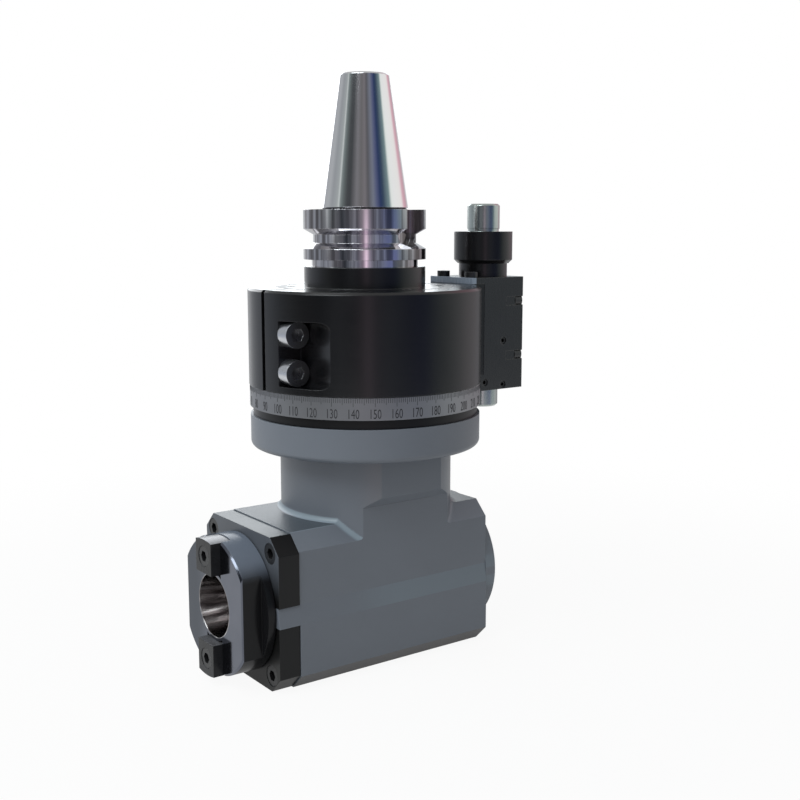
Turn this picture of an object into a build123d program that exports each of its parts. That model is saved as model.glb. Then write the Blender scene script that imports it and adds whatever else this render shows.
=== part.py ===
"""Right-angle milling head with a 40-size taper shank and a 30-size taper output spindle.

+Z is up, along the input axis. The output axis is parallel to X and its nose points to -X.
The origin lies on the input axis, in the flat underside of the head housing. Millimetres.
"""

from build123d import *
from math import cos, radians, sin, sqrt, tan
import os

# Clearances
fit_gap = 0.02
screw_gap = 0.2
seal_gap = 0.1
running_gap = 0.3
thread_gap = 0.05

# Head housing: the grey casting
body_width = 75.0
body_height = 78.0
body_front = -64.0
body_rear = 53.0
body_chamfer = 8.0
side_step = 1.2
tongue_height = 10.0
tongue_depth = 4.0
neck_radius = 45.0
neck_height = 33.0
neck_flat = 41.0
neck_ledge_above_body = 8.0
head_flange_radius = 60.0
head_flange_height = 16.7
head_flange_rounding = 3.0
neck_root_fillet = 3.0

# Ring stack above the head housing
band_radius = 58.6
band_height = 4.7
ring_radius = 60.5
scale_step = 0.3
scale_height = 10.8
scale_seat_radius = 54.0
sleeve_radius = 46.0
ring_height = 49.5
ring_float = 0.2
ring_chamfer = 1.2
collar_radius = 31.3
collar_height = 10.4
cover_flange_radius = 41.0
cover_flange_height = 5.0

# Taper shank, size 40
taper_slope = 7 / 48
gauge_radius = 22.225
taper_length = 65.4
flange_radius = 31.5
flange_gap = 2.0
flange_reach = 27.0
groove_centre = 16.6
groove_mouth = 10.0
groove_root_radius = 26.5
stub_radius = 27.35
relief_radius = 21.6
relief_height = 1.0
stub_gap = 3.7
slot_width = 16.1
slot_floor = 22.6
slot_reach = 21.7
slot_angle = -67.5
pilot_radius = 8.5
pilot_depth = 6.0
stud_thread_radius = 7.0
stud_thread_length = 28.0
shank_bore_radius = 6.8

# Bearings: bore radius, outer radius, width
upper_bearing_bore = 25.0
upper_bearing_outer = 36.0
upper_bearing_width = 12.0
lower_bearing_bore = 17.5
lower_bearing_outer = 31.0
lower_bearing_width = 14.0
front_bearing_bore = 20.0
front_bearing_outer = 31.0
front_bearing_width = 12.0
rear_bearing_bore = 12.5
rear_bearing_outer = 26.0
rear_bearing_width = 15.0
race_wall = 3.4
shield_thickness = 1.0
shield_sink = 0.5
bearing_shoulder = 3.0
circlip_width = 2.0
circlip_depth = 2.0
circlip_opening = 10.0

# Bevel gears, a one to one pair
gear_teeth = 20
gear_module = 2.6
gear_face = 10.0
gear_backlash = 0.24
gear_back = 36.0
gear_hub_radius = 20.0
apex_to_lower_bearing = 49.0
tenon_radius = 11.0
tenon_length = 36.0
shaft_radius = 20.0
key_width = 6.0
key_height = 6.0
key_length = 20.0
upper_nut_radius = 31.0
upper_nut_height = 9.0

# Output spindle, size 30
plate_thickness = 11.5
plate_width = 74.0
plate_height = 77.0
nose_front = -91.0
nose_radius = 34.916
nose_flat = 28.3
nose_flat_length = 11.0
nose_gap = 0.5
socket_radius = 15.875
socket_depth = 48.0
seal_land_radius = 24.0
seal_width = 7.0
spacer_length = 2.0
spindle_shaft_radius = 13.0
spindle_nut_radius = 16.0
spindle_nut_length = 6.0
rear_nut_radius = 19.0
rear_nut_length = 6.0
rear_bearing_start = 29.0
drive_key_width = 15.9
drive_key_inner = 17.5
drive_key_outer = 34.5
drive_key_reach = 5.0
drive_key_sink = 6.0
drive_key_screw_radius = 26.0
drive_key_screw_length = 10.0
drive_key_screw_tap = 11.0
draw_bolt_radius = 6.0
draw_bolt_bore = 6.5
draw_bolt_tip = -50.0
draw_bolt_head_radius = 9.0
draw_bolt_head_height = 6.0
shaft_end = 50.5

# End cap
cap_radius = 37.0
cap_thickness = 7.5
cap_skin = 3.0
cap_recess_radius = 20.0
cap_screw_circle = 31.0
cap_screw_length = 16.0
washer_thickness = 2.0

# Stop ring pocket and slit
slit_width = 3.0
pocket_wall = 12.2
pocket_floor_wall = 0.5
pocket_height = 32.0
pocket_corner = 4.0
pocket_drop = 30.3
clamp_screw_pitch = 18.6

# Stop block and pin
pin_reach = 19.5
block_reach = 33.5
block_hook = 3.5
block_foot_hook = 0.5
block_width = 36.0
block_top_rise = 3.3
block_height = 61.7
lug_reach = 5.5
lug_play = 0.2
pin_radius = 9.0
pin_top_rise = 43.0
pin_length = 112.5
pin_chamfer = 1.0
pin_neck_radius = 8.6
pin_neck_length = 1.5
pin_travel = 7.0
bush_radius = 13.4
bush_bore = 11.8
bush_rise = 11.8
bush_sink = 8.0
bush_floor_thickness = 4.0
collar_outer = 16.2
collar_length = 17.4
collar_lift = 7.2
collar_roof = 4.0
collar_lower_chamfer = 2.0
spring_wire = 0.8
spring_mean_radius = 10.6
spring_turns = 5
block_screw_y = 13.6
block_screw_drops = (9.9, 39.9)
block_screw_seat = 5.2
block_screw_length = 35.0
block_screw_tap = 13.0
side_slot_length = 12.0
side_slot_height = 4.8
side_slot_depth = 0.5
top_screw_y = 12.0
top_screw_inset = 4.5
top_screw_length = 9.0
top_screw_tap = 6.0
top_screw_head = 3.0
plug_length = 4.0
plug_sink = 0.5
guide_tip_radius = 1.4
guide_slot_play = 0.2
guide_slot_depth = 3.0
guide_screw_length = 7.0
guide_drop = 31.5

# Screws: thread radius, head radius, head height, socket across flats
m3 = (1.5, 2.75, 3.0, 2.5)
m4 = (2.0, 3.5, 4.0, 3.0)
m5 = (2.5, 4.25, 5.0, 4.0)
m6 = (3.0, 5.0, 6.0, 5.0)
m8 = (4.0, 6.5, 8.0, 6.0)
plate_bolt_y = 29.0
plate_bolt_z = 30.5
plate_screw_length = 24.0
housing_screw_circle = 49.8
housing_screw_length = 20.0
cover_screw_circle = 38.0
cover_screw_length = 10.0

# Heights above the underside
axis_z = body_height / 2
scale_radius = ring_radius - scale_step
neck_top = body_height + neck_height
flange_top = neck_top + head_flange_height
band_top = flange_top + band_height
scale_top = band_top + scale_height
ring_bottom = scale_top + ring_float
ring_top = ring_bottom + ring_height
collar_top = ring_top + collar_height
gauge_z = collar_top + stub_gap + flange_reach
shank_top = gauge_z + taper_length
upper_bearing_top = ring_top - cover_flange_height
upper_bearing_bottom = upper_bearing_top - 2 * upper_bearing_width
lower_bearing_bottom = axis_z + apex_to_lower_bearing
lower_bearing_top = lower_bearing_bottom + lower_bearing_width

# Places along the output axis
plate_front = body_front - plate_thickness
nose_back = plate_front - nose_gap
front_bearing_start = body_front + 2.0
front_bearing_end = front_bearing_start + 2 * front_bearing_width
rear_bearing_end = rear_bearing_start + rear_bearing_width
chamber_radius = 28.2
spindle_chamber = 28.8
shank_top_radius = gauge_radius - taper_length * taper_slope

output_axis = Axis((0, 0, axis_z), (1, 0, 0))
towards_nose = Plane(origin=(0, 0, axis_z), x_dir=(0, -1, 0), z_dir=(-1, 0, 0))
towards_rear = Plane(origin=(0, 0, axis_z), x_dir=(0, 1, 0), z_dir=(1, 0, 0))


def ring(plane, outer, inner, height):
    """A plain round ring or washer on a plane."""
    with BuildPart() as part:
        with BuildSketch(plane):
            Circle(outer)
            Circle(inner, mode=Mode.SUBTRACT)
        extrude(amount=height)
    return part


def outer_races(plane, bore, outer, width, count=1):
    """The outer rings of shielded bearings that stand side by side."""
    shield_bore = bore + race_wall + running_gap
    with BuildPart() as part:
        for i in range(count):
            foot = plane.offset(i * width)
            with BuildSketch(foot):
                Circle(outer - fit_gap)
                Circle(outer - race_wall, mode=Mode.SUBTRACT)
            extrude(amount=width - fit_gap)
            for start in (shield_sink, width - shield_sink - shield_thickness):
                with BuildSketch(foot.offset(start)):
                    Circle(outer - race_wall + 0.5)
                    Circle(shield_bore, mode=Mode.SUBTRACT)
                extrude(amount=shield_thickness)
    return part


def inner_races(plane, bore, width, count=1):
    """The inner rings of bearings that stand side by side."""
    with BuildPart() as part:
        for i in range(count):
            add(ring(plane.offset(i * width + i * fit_gap), bore + race_wall, bore + fit_gap, width - fit_gap).part)
    return part


def cap_screws(plane, spots, size, length):
    """Socket head cap screws whose heads sit on a plane and stand along its normal."""
    thread, head, head_height, socket = size
    with BuildPart() as part:
        with BuildSketch(plane):
            with Locations(*spots):
                Circle(head)
        extrude(amount=head_height)
        with BuildSketch(plane):
            with Locations(*spots):
                Circle(thread)
        extrude(amount=-length)
        with BuildSketch(plane.offset(head_height)):
            with Locations(*spots):
                RegularPolygon(radius=socket / 2, side_count=6, major_radius=False)
        extrude(amount=-head_height / 2, mode=Mode.SUBTRACT)
    return part


def set_screws(plane, spots, size, length):
    """Headless screws whose sockets lie on a plane, reaching back from it."""
    thread, _, _, socket = size
    with BuildPart() as part:
        with BuildSketch(plane):
            with Locations(*spots):
                Circle(thread)
                RegularPolygon(
                    radius=socket / 2 * 0.7,
                    side_count=6,
                    major_radius=False,
                    mode=Mode.SUBTRACT,
                )
        extrude(amount=-2)
        with BuildSketch(plane.offset(-2)):
            with Locations(*spots):
                Circle(thread)
        extrude(amount=2 - length)
    return part


def locknut(plane, outer, thread, height):
    """A round locknut with four slots in its rim."""
    with BuildPart() as part:
        with BuildSketch(plane):
            Circle(outer)
            with PolarLocations(outer, 4):
                Rectangle(4, 5, mode=Mode.SUBTRACT)
            Circle(thread + thread_gap, mode=Mode.SUBTRACT)
        extrude(amount=height)
    return part


def drill(plane, radius, depth, spots=((0, 0),)):
    """Cuts round holes back from a plane, in the part being built."""
    with BuildSketch(plane) as holes:
        with Locations(*spots):
            Circle(radius)
    extrude(holes.sketch, amount=-depth, mode=Mode.SUBTRACT)


def around(count, radius, start=0.0):
    """Points evenly spaced on a circle."""
    step = 360 / count
    angles = [radians(start + step * i) for i in range(count)]
    return [(radius * cos(a), radius * sin(a)) for a in angles]


def save(piece, name):
    """Labels a finished piece and writes its STEP file."""
    piece.part.label = name
    export_step(piece.part, f"parts/{name}.step")


os.makedirs("parts", exist_ok=True)

# Head housing: body, neck and flange in one casting
half_width = body_width / 2
upper_side = half_width - side_step
step_top = axis_z + tongue_height / 2
step_bottom = axis_z - tongue_height / 2
ledge_z = body_height + neck_ledge_above_body
ledge_rise = neck_flat - upper_side
notch_floor = plate_width / 2 - tongue_depth
plate_bolts = [(y, z) for y in (-plate_bolt_y, plate_bolt_y) for z in (-plate_bolt_z, plate_bolt_z)]
housing_bolts = around(6, housing_screw_circle, 30)
cover_bolts = around(6, cover_screw_circle, 30)
cap_bolts = around(4, cap_screw_circle, 45)
under_flange = Plane(origin=(0, 0, neck_top + m5[2] + screw_gap), x_dir=(1, 0, 0), z_dir=(0, 0, -1))
neck_foot = Plane.XY.offset(axis_z)

with BuildPart() as neck:
    with BuildSketch(neck_foot):
        Circle(neck_radius)
    extrude(amount=neck_top - axis_z)
    with BuildSketch(Plane.YZ.offset(-neck_radius)):
        with BuildLine():
            Polyline(
                (0, axis_z),
                (upper_side, axis_z),
                (upper_side, ledge_z),
                (neck_flat, ledge_z + ledge_rise),
                (neck_flat, neck_top),
                (0, neck_top),
                (0, axis_z),
            )
        make_face()
        mirror(about=Plane.YZ)
    extrude(amount=2 * neck_radius, mode=Mode.INTERSECT)

with BuildPart() as head_housing:
    with BuildSketch(Plane.YZ.offset(body_front)):
        with BuildLine():
            Polyline(
                (0, 0),
                (half_width - body_chamfer, 0),
                (half_width, body_chamfer),
                (half_width, step_bottom),
                (upper_side, step_top),
                (upper_side, body_height - body_chamfer),
                (upper_side - body_chamfer, body_height),
                (0, body_height),
                (0, 0),
            )
        make_face()
        mirror(about=Plane.YZ)
    extrude(amount=body_rear - body_front)
    add(neck.part)
    with BuildSketch(Plane.XY.offset(neck_top)):
        Circle(head_flange_radius)
    extrude(amount=head_flange_height)
    flange_foot = (
        head_housing.edges()
        .filter_by(GeomType.CIRCLE)
        .filter_by(lambda e: abs(e.radius - head_flange_radius) < 0.01)
        .sort_by(Axis.Z)[0]
    )
    fillet(flange_foot, head_flange_rounding)
    neck_roots = head_housing.edges().filter_by(lambda e: abs(e.center().Z - body_height) < 0.01)
    neck_roots = neck_roots.filter_by(GeomType.CIRCLE)
    chamfer_roots = (
        head_housing.edges()
        .filter_by(GeomType.ELLIPSE)
        .filter_by(lambda e: body_height - body_chamfer < e.center().Z < body_height)
    )
    fillet(neck_roots + chamfer_roots, neck_root_fillet)
    # Tongues that stand through the notches of the front plate
    with BuildSketch(Plane.YZ.offset(body_front)):
        with BuildLine():
            Polyline(
                (notch_floor + fit_gap, step_bottom + fit_gap),
                (half_width, step_bottom + fit_gap),
                (upper_side, step_top - fit_gap),
                (notch_floor + fit_gap, step_top - fit_gap),
                (notch_floor + fit_gap, step_bottom + fit_gap),
            )
        make_face()
        mirror(about=Plane.YZ)
    extrude(amount=-plate_thickness)
    # Bores for the output spindle and its bearings
    drill(towards_nose.offset(-body_front), front_bearing_outer, front_bearing_end - body_front)
    drill(towards_nose.offset(-front_bearing_end), spindle_chamber, rear_bearing_start - front_bearing_end)
    drill(towards_rear.offset(body_rear), rear_bearing_outer, body_rear - rear_bearing_start)
    # Bores for the input gear, its bearing and the spigot of the upper housing
    drill(Plane.XY.offset(flange_top), upper_bearing_outer, bearing_shoulder)
    drill(Plane.XY.offset(flange_top), lower_bearing_outer, flange_top - lower_bearing_bottom)
    drill(Plane.XY.offset(lower_bearing_bottom), chamber_radius, lower_bearing_bottom - axis_z)
    drill(
        Plane.XY.offset(lower_bearing_top + circlip_width),
        lower_bearing_outer + circlip_depth,
        circlip_width,
    )
    # Screw holes
    drill(Plane.XY.offset(flange_top), m5[0] + screw_gap, head_flange_height, housing_bolts)
    drill(
        under_flange.offset(m5[2] + screw_gap),
        m5[1] + screw_gap,
        m5[2] + screw_gap,
        [(x, -y) for x, y in housing_bolts],
    )
    drill(towards_nose.offset(-body_front), m6[0] + thread_gap, plate_screw_length, plate_bolts)
    drill(towards_rear.offset(body_rear), m5[0] + thread_gap, cap_screw_length, cap_bolts)
save(head_housing, "head_housing")

# Upper housing: the flange seen as a dark band, and the sleeve inside the stop ring
with BuildPart() as upper_housing:
    with BuildSketch(Plane.XZ):
        with BuildLine():
            Polyline(
                (lower_bearing_outer + circlip_depth, flange_top - bearing_shoulder),
                (upper_bearing_outer - fit_gap, flange_top - bearing_shoulder),
                (upper_bearing_outer - fit_gap, flange_top),
                (band_radius, flange_top),
                (band_radius, band_top),
                (scale_seat_radius, band_top),
                (scale_seat_radius, scale_top),
                (sleeve_radius, scale_top),
                (sleeve_radius, ring_top),
                (cover_flange_radius, ring_top),
                (cover_flange_radius, upper_bearing_top),
                (upper_bearing_outer, upper_bearing_top),
                (upper_bearing_outer, upper_bearing_bottom),
                (upper_bearing_outer - bearing_shoulder, upper_bearing_bottom),
                (lower_bearing_outer + circlip_depth, flange_top - bearing_shoulder),
            )
        make_face()
    revolve(axis=Axis.Z)
    drill(
        Plane.XY.offset(flange_top + housing_screw_length - m5[2]),
        m5[0] + thread_gap,
        housing_screw_length - m5[2],
        housing_bolts,
    )
    drill(Plane.XY.offset(upper_bearing_top), m3[0] + thread_gap, cover_screw_length, cover_bolts)
save(upper_housing, "upper_housing")

housing_screws = cap_screws(
    under_flange,
    [(x, -y) for x, y in housing_bolts],
    m5,
    housing_screw_length,
)
save(housing_screws, "housing_screws")

scale_ring = ring(Plane.XY.offset(band_top), scale_radius, scale_seat_radius + fit_gap, scale_height)
save(scale_ring, "scale_ring")

# Bearing cover: a screwed flange and the collar under the shank
cover_seat = Plane.XY.offset(ring_top - m3[2] - screw_gap)
with BuildPart() as bearing_cover:
    with BuildSketch(Plane.XZ):
        with BuildLine():
            Polyline(
                (stub_radius + running_gap, upper_bearing_top + 1),
                (upper_bearing_outer - bearing_shoulder, upper_bearing_top + 1),
                (upper_bearing_outer - bearing_shoulder, upper_bearing_top),
                (cover_flange_radius - fit_gap, upper_bearing_top),
                (cover_flange_radius - fit_gap, ring_top),
                (collar_radius, ring_top),
                (collar_radius, collar_top),
                (stub_radius + running_gap, collar_top),
                (stub_radius + running_gap, upper_bearing_top + 1),
            )
        make_face()
    revolve(axis=Axis.Z)
    drill(Plane.XY.offset(ring_top), m3[0] + screw_gap, cover_flange_height, cover_bolts)
    drill(Plane.XY.offset(ring_top), m3[1] + screw_gap, m3[2] + screw_gap, cover_bolts)
save(bearing_cover, "bearing_cover")

cover_screws = cap_screws(cover_seat, cover_bolts, m3, cover_screw_length)
save(cover_screws, "cover_screws")

# Front plate, with its seal and screws
plate_half_width = plate_width / 2
plate_bottom = axis_z - plate_height / 2
plate_top = axis_z + plate_height / 2
seal_outer = lower_bearing_outer
spigot_bore = seal_land_radius + 2
with BuildPart() as front_plate:
    with BuildSketch(Plane.YZ.offset(plate_front)):
        with BuildLine():
            Polyline(
                (0, plate_bottom),
                (plate_half_width - body_chamfer, plate_bottom),
                (plate_half_width, plate_bottom + body_chamfer),
                (plate_half_width, step_bottom),
                (notch_floor, step_bottom),
                (notch_floor, step_top),
                (plate_half_width, step_top),
                (plate_half_width, plate_top - body_chamfer),
                (plate_half_width - body_chamfer, plate_top),
                (0, plate_top),
                (0, plate_bottom),
            )
        make_face()
        mirror(about=Plane.YZ)
    extrude(amount=plate_thickness)
    with BuildSketch(towards_rear.offset(body_front)):
        Circle(front_bearing_outer - fit_gap)
    extrude(amount=front_bearing_start - body_front)
    drill(towards_nose.offset(-plate_front), spigot_bore, front_bearing_start - plate_front)
    drill(towards_nose.offset(-plate_front), seal_outer, seal_width)
    drill(towards_nose.offset(-plate_front), m6[0] + screw_gap, plate_thickness, plate_bolts)
    drill(towards_nose.offset(-plate_front), m6[1] + screw_gap, m6[2] + screw_gap, plate_bolts)
save(front_plate, "front_plate")

plate_screws = cap_screws(
    towards_nose.offset(-plate_front - m6[2] - screw_gap),
    plate_bolts,
    m6,
    plate_screw_length,
)
save(plate_screws, "plate_screws")

with BuildPart() as output_seal:
    with BuildSketch(towards_rear.offset(plate_front)):
        Circle(seal_outer - fit_gap)
        Circle(seal_land_radius + seal_gap, mode=Mode.SUBTRACT)
    extrude(amount=seal_width - fit_gap)
    with BuildSketch(towards_rear.offset(plate_front + seal_width - fit_gap)):
        Circle(seal_outer - 1.5)
        Circle(seal_land_radius + 1.2, mode=Mode.SUBTRACT)
    extrude(amount=-seal_width / 2, mode=Mode.SUBTRACT)
save(output_seal, "output_seal")

# End cap, closing the rear bore
cap_rear = body_rear + cap_thickness
spigot_length = body_rear - rear_bearing_end - washer_thickness - fit_gap
with BuildPart() as end_cap:
    with BuildSketch(towards_rear.offset(body_rear)):
        Circle(cap_radius)
    extrude(amount=cap_thickness)
    cap_rim = end_cap.edges().filter_by(GeomType.CIRCLE).sort_by(Axis.X)[-1]
    chamfer(cap_rim, 1.0)
    with BuildSketch(towards_rear.offset(body_rear)):
        Circle(rear_bearing_outer - fit_gap)
    extrude(amount=-spigot_length)
    drill(towards_nose.offset(spigot_length - body_rear), cap_recess_radius, spigot_length + cap_thickness - cap_skin)
    drill(towards_rear.offset(cap_rear), m5[0] + screw_gap, cap_thickness, cap_bolts)
    drill(towards_rear.offset(cap_rear), m5[1] + screw_gap, m5[2] + screw_gap, cap_bolts)
save(end_cap, "end_cap")

end_cap_screws = cap_screws(
    towards_rear.offset(cap_rear - m5[2] - screw_gap),
    cap_bolts,
    m5,
    cap_screw_length,
)
save(end_cap_screws, "end_cap_screws")

preload_washer = ring(
    towards_rear.offset(rear_bearing_end),
    rear_bearing_outer - 0.5,
    rear_bearing_outer - race_wall,
    washer_thickness,
)
save(preload_washer, "preload_washer")

# Outer rings of the bearings, which stay with the head
upper_outer_races = outer_races(
    Plane.XY.offset(upper_bearing_bottom),
    upper_bearing_bore,
    upper_bearing_outer,
    upper_bearing_width,
    2,
)
save(upper_outer_races, "upper_bearing_outer_races")

lower_outer_race = outer_races(
    Plane.XY.offset(lower_bearing_bottom),
    lower_bearing_bore,
    lower_bearing_outer,
    lower_bearing_width,
)
save(lower_outer_race, "lower_bearing_outer_race")

front_outer_races = outer_races(
    towards_rear.offset(front_bearing_start),
    front_bearing_bore,
    front_bearing_outer,
    front_bearing_width,
    2,
)
save(front_outer_races, "front_bearing_outer_races")

rear_outer_race = outer_races(
    towards_rear.offset(rear_bearing_start),
    rear_bearing_bore,
    rear_bearing_outer,
    rear_bearing_width,
)
save(rear_outer_race, "rear_bearing_outer_race")

with BuildPart() as lower_circlip:
    with BuildSketch(Plane.XY.offset(lower_bearing_top + fit_gap)):
        Circle(lower_bearing_outer + circlip_depth - fit_gap)
        Circle(lower_bearing_outer - 2, mode=Mode.SUBTRACT)
        with Locations((lower_bearing_outer, 0)):
            Rectangle(3 * circlip_depth + 2, circlip_opening, mode=Mode.SUBTRACT)
    extrude(amount=circlip_width - 2 * fit_gap)
save(lower_circlip, "lower_circlip")

# Input arbor: taper shank, flange, bearing seats and the socket for the gear tenon
flange_bottom = gauge_z - flange_reach
flange_face = gauge_z - flange_gap
groove_z = gauge_z - groove_centre
groove_root_half = groove_mouth / 2 - (flange_radius - groove_root_radius) * tan(radians(30))
web_bottom = lower_bearing_top + tenon_length + 3
web_top = web_bottom + 9
stud_thread_bottom = shank_top - pilot_depth - stud_thread_length
upper_nut_bottom = upper_bearing_bottom - upper_nut_height
draw_screw_length = 30.0
slot_end_z = gauge_z - slot_reach + slot_width / 2
with BuildPart() as input_arbor:
    with BuildSketch(Plane.XZ):
        with BuildLine():
            Polyline(
                (0, lower_bearing_top),
                (shaft_radius, lower_bearing_top),
                (shaft_radius, upper_nut_bottom),
                (upper_bearing_bore - 1, upper_nut_bottom),
                (upper_bearing_bore - 1, upper_bearing_bottom),
                (upper_bearing_bore, upper_bearing_bottom),
                (upper_bearing_bore, upper_bearing_top),
                (stub_radius, upper_bearing_top),
                (stub_radius, flange_bottom),
                (flange_radius, flange_bottom),
                (flange_radius, groove_z - groove_mouth / 2),
                (groove_root_radius, groove_z - groove_root_half),
                (groove_root_radius, groove_z + groove_root_half),
                (flange_radius, groove_z + groove_mouth / 2),
                (flange_radius, flange_face),
                (relief_radius, flange_face),
                (relief_radius, flange_face + relief_height),
                (gauge_radius + relief_height * taper_slope, flange_face + relief_height),
                (shank_top_radius, shank_top),
                (0, shank_top),
                (0, lower_bearing_top),
            )
        make_face()
    revolve(axis=Axis.Z)
    shank_rim = input_arbor.edges().filter_by(GeomType.CIRCLE).sort_by(Axis.Z)[-1]
    chamfer(shank_rim, 0.8)
    drill(Plane.XY.offset(shank_top), pilot_radius, pilot_depth)
    drill(Plane.XY.offset(shank_top), stud_thread_radius, shank_top - stud_thread_bottom)
    drill(Plane.XY.offset(shank_top), shank_bore_radius, shank_top - web_top)
    drill(Plane.XY.offset(web_top), m8[0] + screw_gap, web_top - web_bottom)
    drill(Plane.XY.offset(web_bottom), tenon_radius + fit_gap, web_bottom - lower_bearing_top)
    # Keyway for the gear
    with BuildSketch(Plane.XY.offset(lower_bearing_top)):
        with Locations((tenon_radius, 0)):
            Rectangle(key_height + 2 * fit_gap, key_width + 2 * fit_gap)
    extrude(amount=web_bottom - lower_bearing_top, mode=Mode.SUBTRACT)
    # Drive slots with round lower ends
    for angle in (radians(slot_angle), radians(slot_angle + 180)):
        slot_plane = Plane(
            origin=(slot_floor * cos(angle), slot_floor * sin(angle), 0),
            x_dir=(-sin(angle), cos(angle), 0),
            z_dir=(cos(angle), sin(angle), 0),
        )
        with BuildSketch(slot_plane):
            with Locations((0, slot_end_z)):
                Circle(slot_width / 2)
            with Locations((0, (slot_end_z + flange_face + 1) / 2)):
                Rectangle(slot_width, flange_face + 1 - slot_end_z)
        extrude(amount=flange_radius - slot_floor + 2, mode=Mode.SUBTRACT)
save(input_arbor, "input_arbor")

upper_inner_races = inner_races(
    Plane.XY.offset(upper_bearing_bottom),
    upper_bearing_bore,
    upper_bearing_width,
    2,
)
save(upper_inner_races, "upper_bearing_inner_races")

lower_inner_race = inner_races(
    Plane.XY.offset(lower_bearing_bottom),
    lower_bearing_bore,
    lower_bearing_width,
)
save(lower_inner_race, "lower_bearing_inner_race")

upper_locknut = locknut(
    Plane.XY.offset(upper_nut_bottom),
    upper_nut_radius,
    upper_bearing_bore - 1,
    upper_nut_height,
)
save(upper_locknut, "upper_locknut")

# Bevel gears: straight teeth on two equal cones whose tips meet at the crossing of the axes
pitch_radius = gear_teeth * gear_module / 2
cone_length = pitch_radius * sqrt(2)
toe_scale = (cone_length - gear_face) / cone_length
addendum = gear_module
dedendum = 1.25 * gear_module
tip_shift = addendum / sqrt(2)
root_shift = dedendum / sqrt(2)
pitch_half_tooth = 3.1416 * gear_module / 4 - gear_backlash / 2
tip_half_tooth = pitch_half_tooth - addendum * 0.38
root_half_tooth = pitch_half_tooth + dedendum * 0.18
tooth_embed = 0.5
heel_root = (pitch_radius - root_shift, pitch_radius + root_shift)
toe_root = (heel_root[0] * toe_scale, heel_root[1] * toe_scale)


def tooth_section(scale):
    """The outline of one tooth, on the back cone at a fraction of the cone length."""
    origin = (pitch_radius * scale, 0, axis_z + pitch_radius * scale)
    plane = Plane(origin=origin, x_dir=(0, 1, 0), z_dir=(1, 0, 1))
    with BuildSketch(plane) as section:
        with BuildLine():
            Polyline(
                (root_half_tooth * scale, (dedendum + tooth_embed) * scale),
                (root_half_tooth * scale, dedendum * scale),
                (pitch_half_tooth * scale, 0),
                (tip_half_tooth * scale, -addendum * scale),
                (-tip_half_tooth * scale, -addendum * scale),
                (-pitch_half_tooth * scale, 0),
                (-root_half_tooth * scale, dedendum * scale),
                (-root_half_tooth * scale, (dedendum + tooth_embed) * scale),
                (root_half_tooth * scale, (dedendum + tooth_embed) * scale),
            )
        make_face()
    return section.sketch


def gear_blank(back, hub, bore):
    """The toothed body of one bevel gear about the vertical axis, without its hub."""
    with BuildPart() as tooth:
        loft([tooth_section(1.0), tooth_section(toe_scale)], ruled=True)
    with BuildPart() as blank:
        with BuildSketch(Plane.XZ):
            with BuildLine():
                Polyline(
                    (bore, axis_z + toe_root[1]),
                    (toe_root[0], axis_z + toe_root[1]),
                    (heel_root[0], axis_z + heel_root[1]),
                    (heel_root[0], axis_z + heel_root[1] + 3),
                    (hub, axis_z + back),
                    (bore, axis_z + back),
                    (bore, axis_z + toe_root[1]),
                )
            make_face()
        revolve(axis=Axis.Z)
        with PolarLocations(0, gear_teeth):
            add(tooth.part)
    return blank


key_z = lower_bearing_top + tenon_length / 2
with BuildPart() as input_gear:
    add(gear_blank(gear_back, gear_hub_radius, 0).part)
    with BuildSketch(Plane.XZ):
        with BuildLine():
            Polyline(
                (0, axis_z + gear_back - 1),
                (gear_hub_radius, axis_z + gear_back - 1),
                (gear_hub_radius, lower_bearing_bottom),
                (lower_bearing_bore, lower_bearing_bottom),
                (lower_bearing_bore, lower_bearing_top),
                (tenon_radius, lower_bearing_top),
                (tenon_radius, lower_bearing_top + tenon_length),
                (0, lower_bearing_top + tenon_length),
                (0, axis_z + gear_back - 1),
            )
        make_face()
    revolve(axis=Axis.Z)
    drill(Plane.XY.offset(lower_bearing_top + tenon_length), m8[0] + thread_gap, draw_screw_length - 8)
    with Locations((tenon_radius, 0, key_z)):
        Box(
            key_height + 2 * fit_gap,
            key_width + 2 * fit_gap,
            key_length + 2 * fit_gap,
            mode=Mode.SUBTRACT,
        )
save(input_gear, "input_gear")

with BuildPart() as input_gear_key:
    with Locations((tenon_radius, 0, key_z)):
        Box(key_height, key_width, key_length)
save(input_gear_key, "input_gear_key")

gear_draw_screw = cap_screws(Plane.XY.offset(web_top), [(0, 0)], m8, draw_screw_length)
save(gear_draw_screw, "gear_draw_screw")

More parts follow.
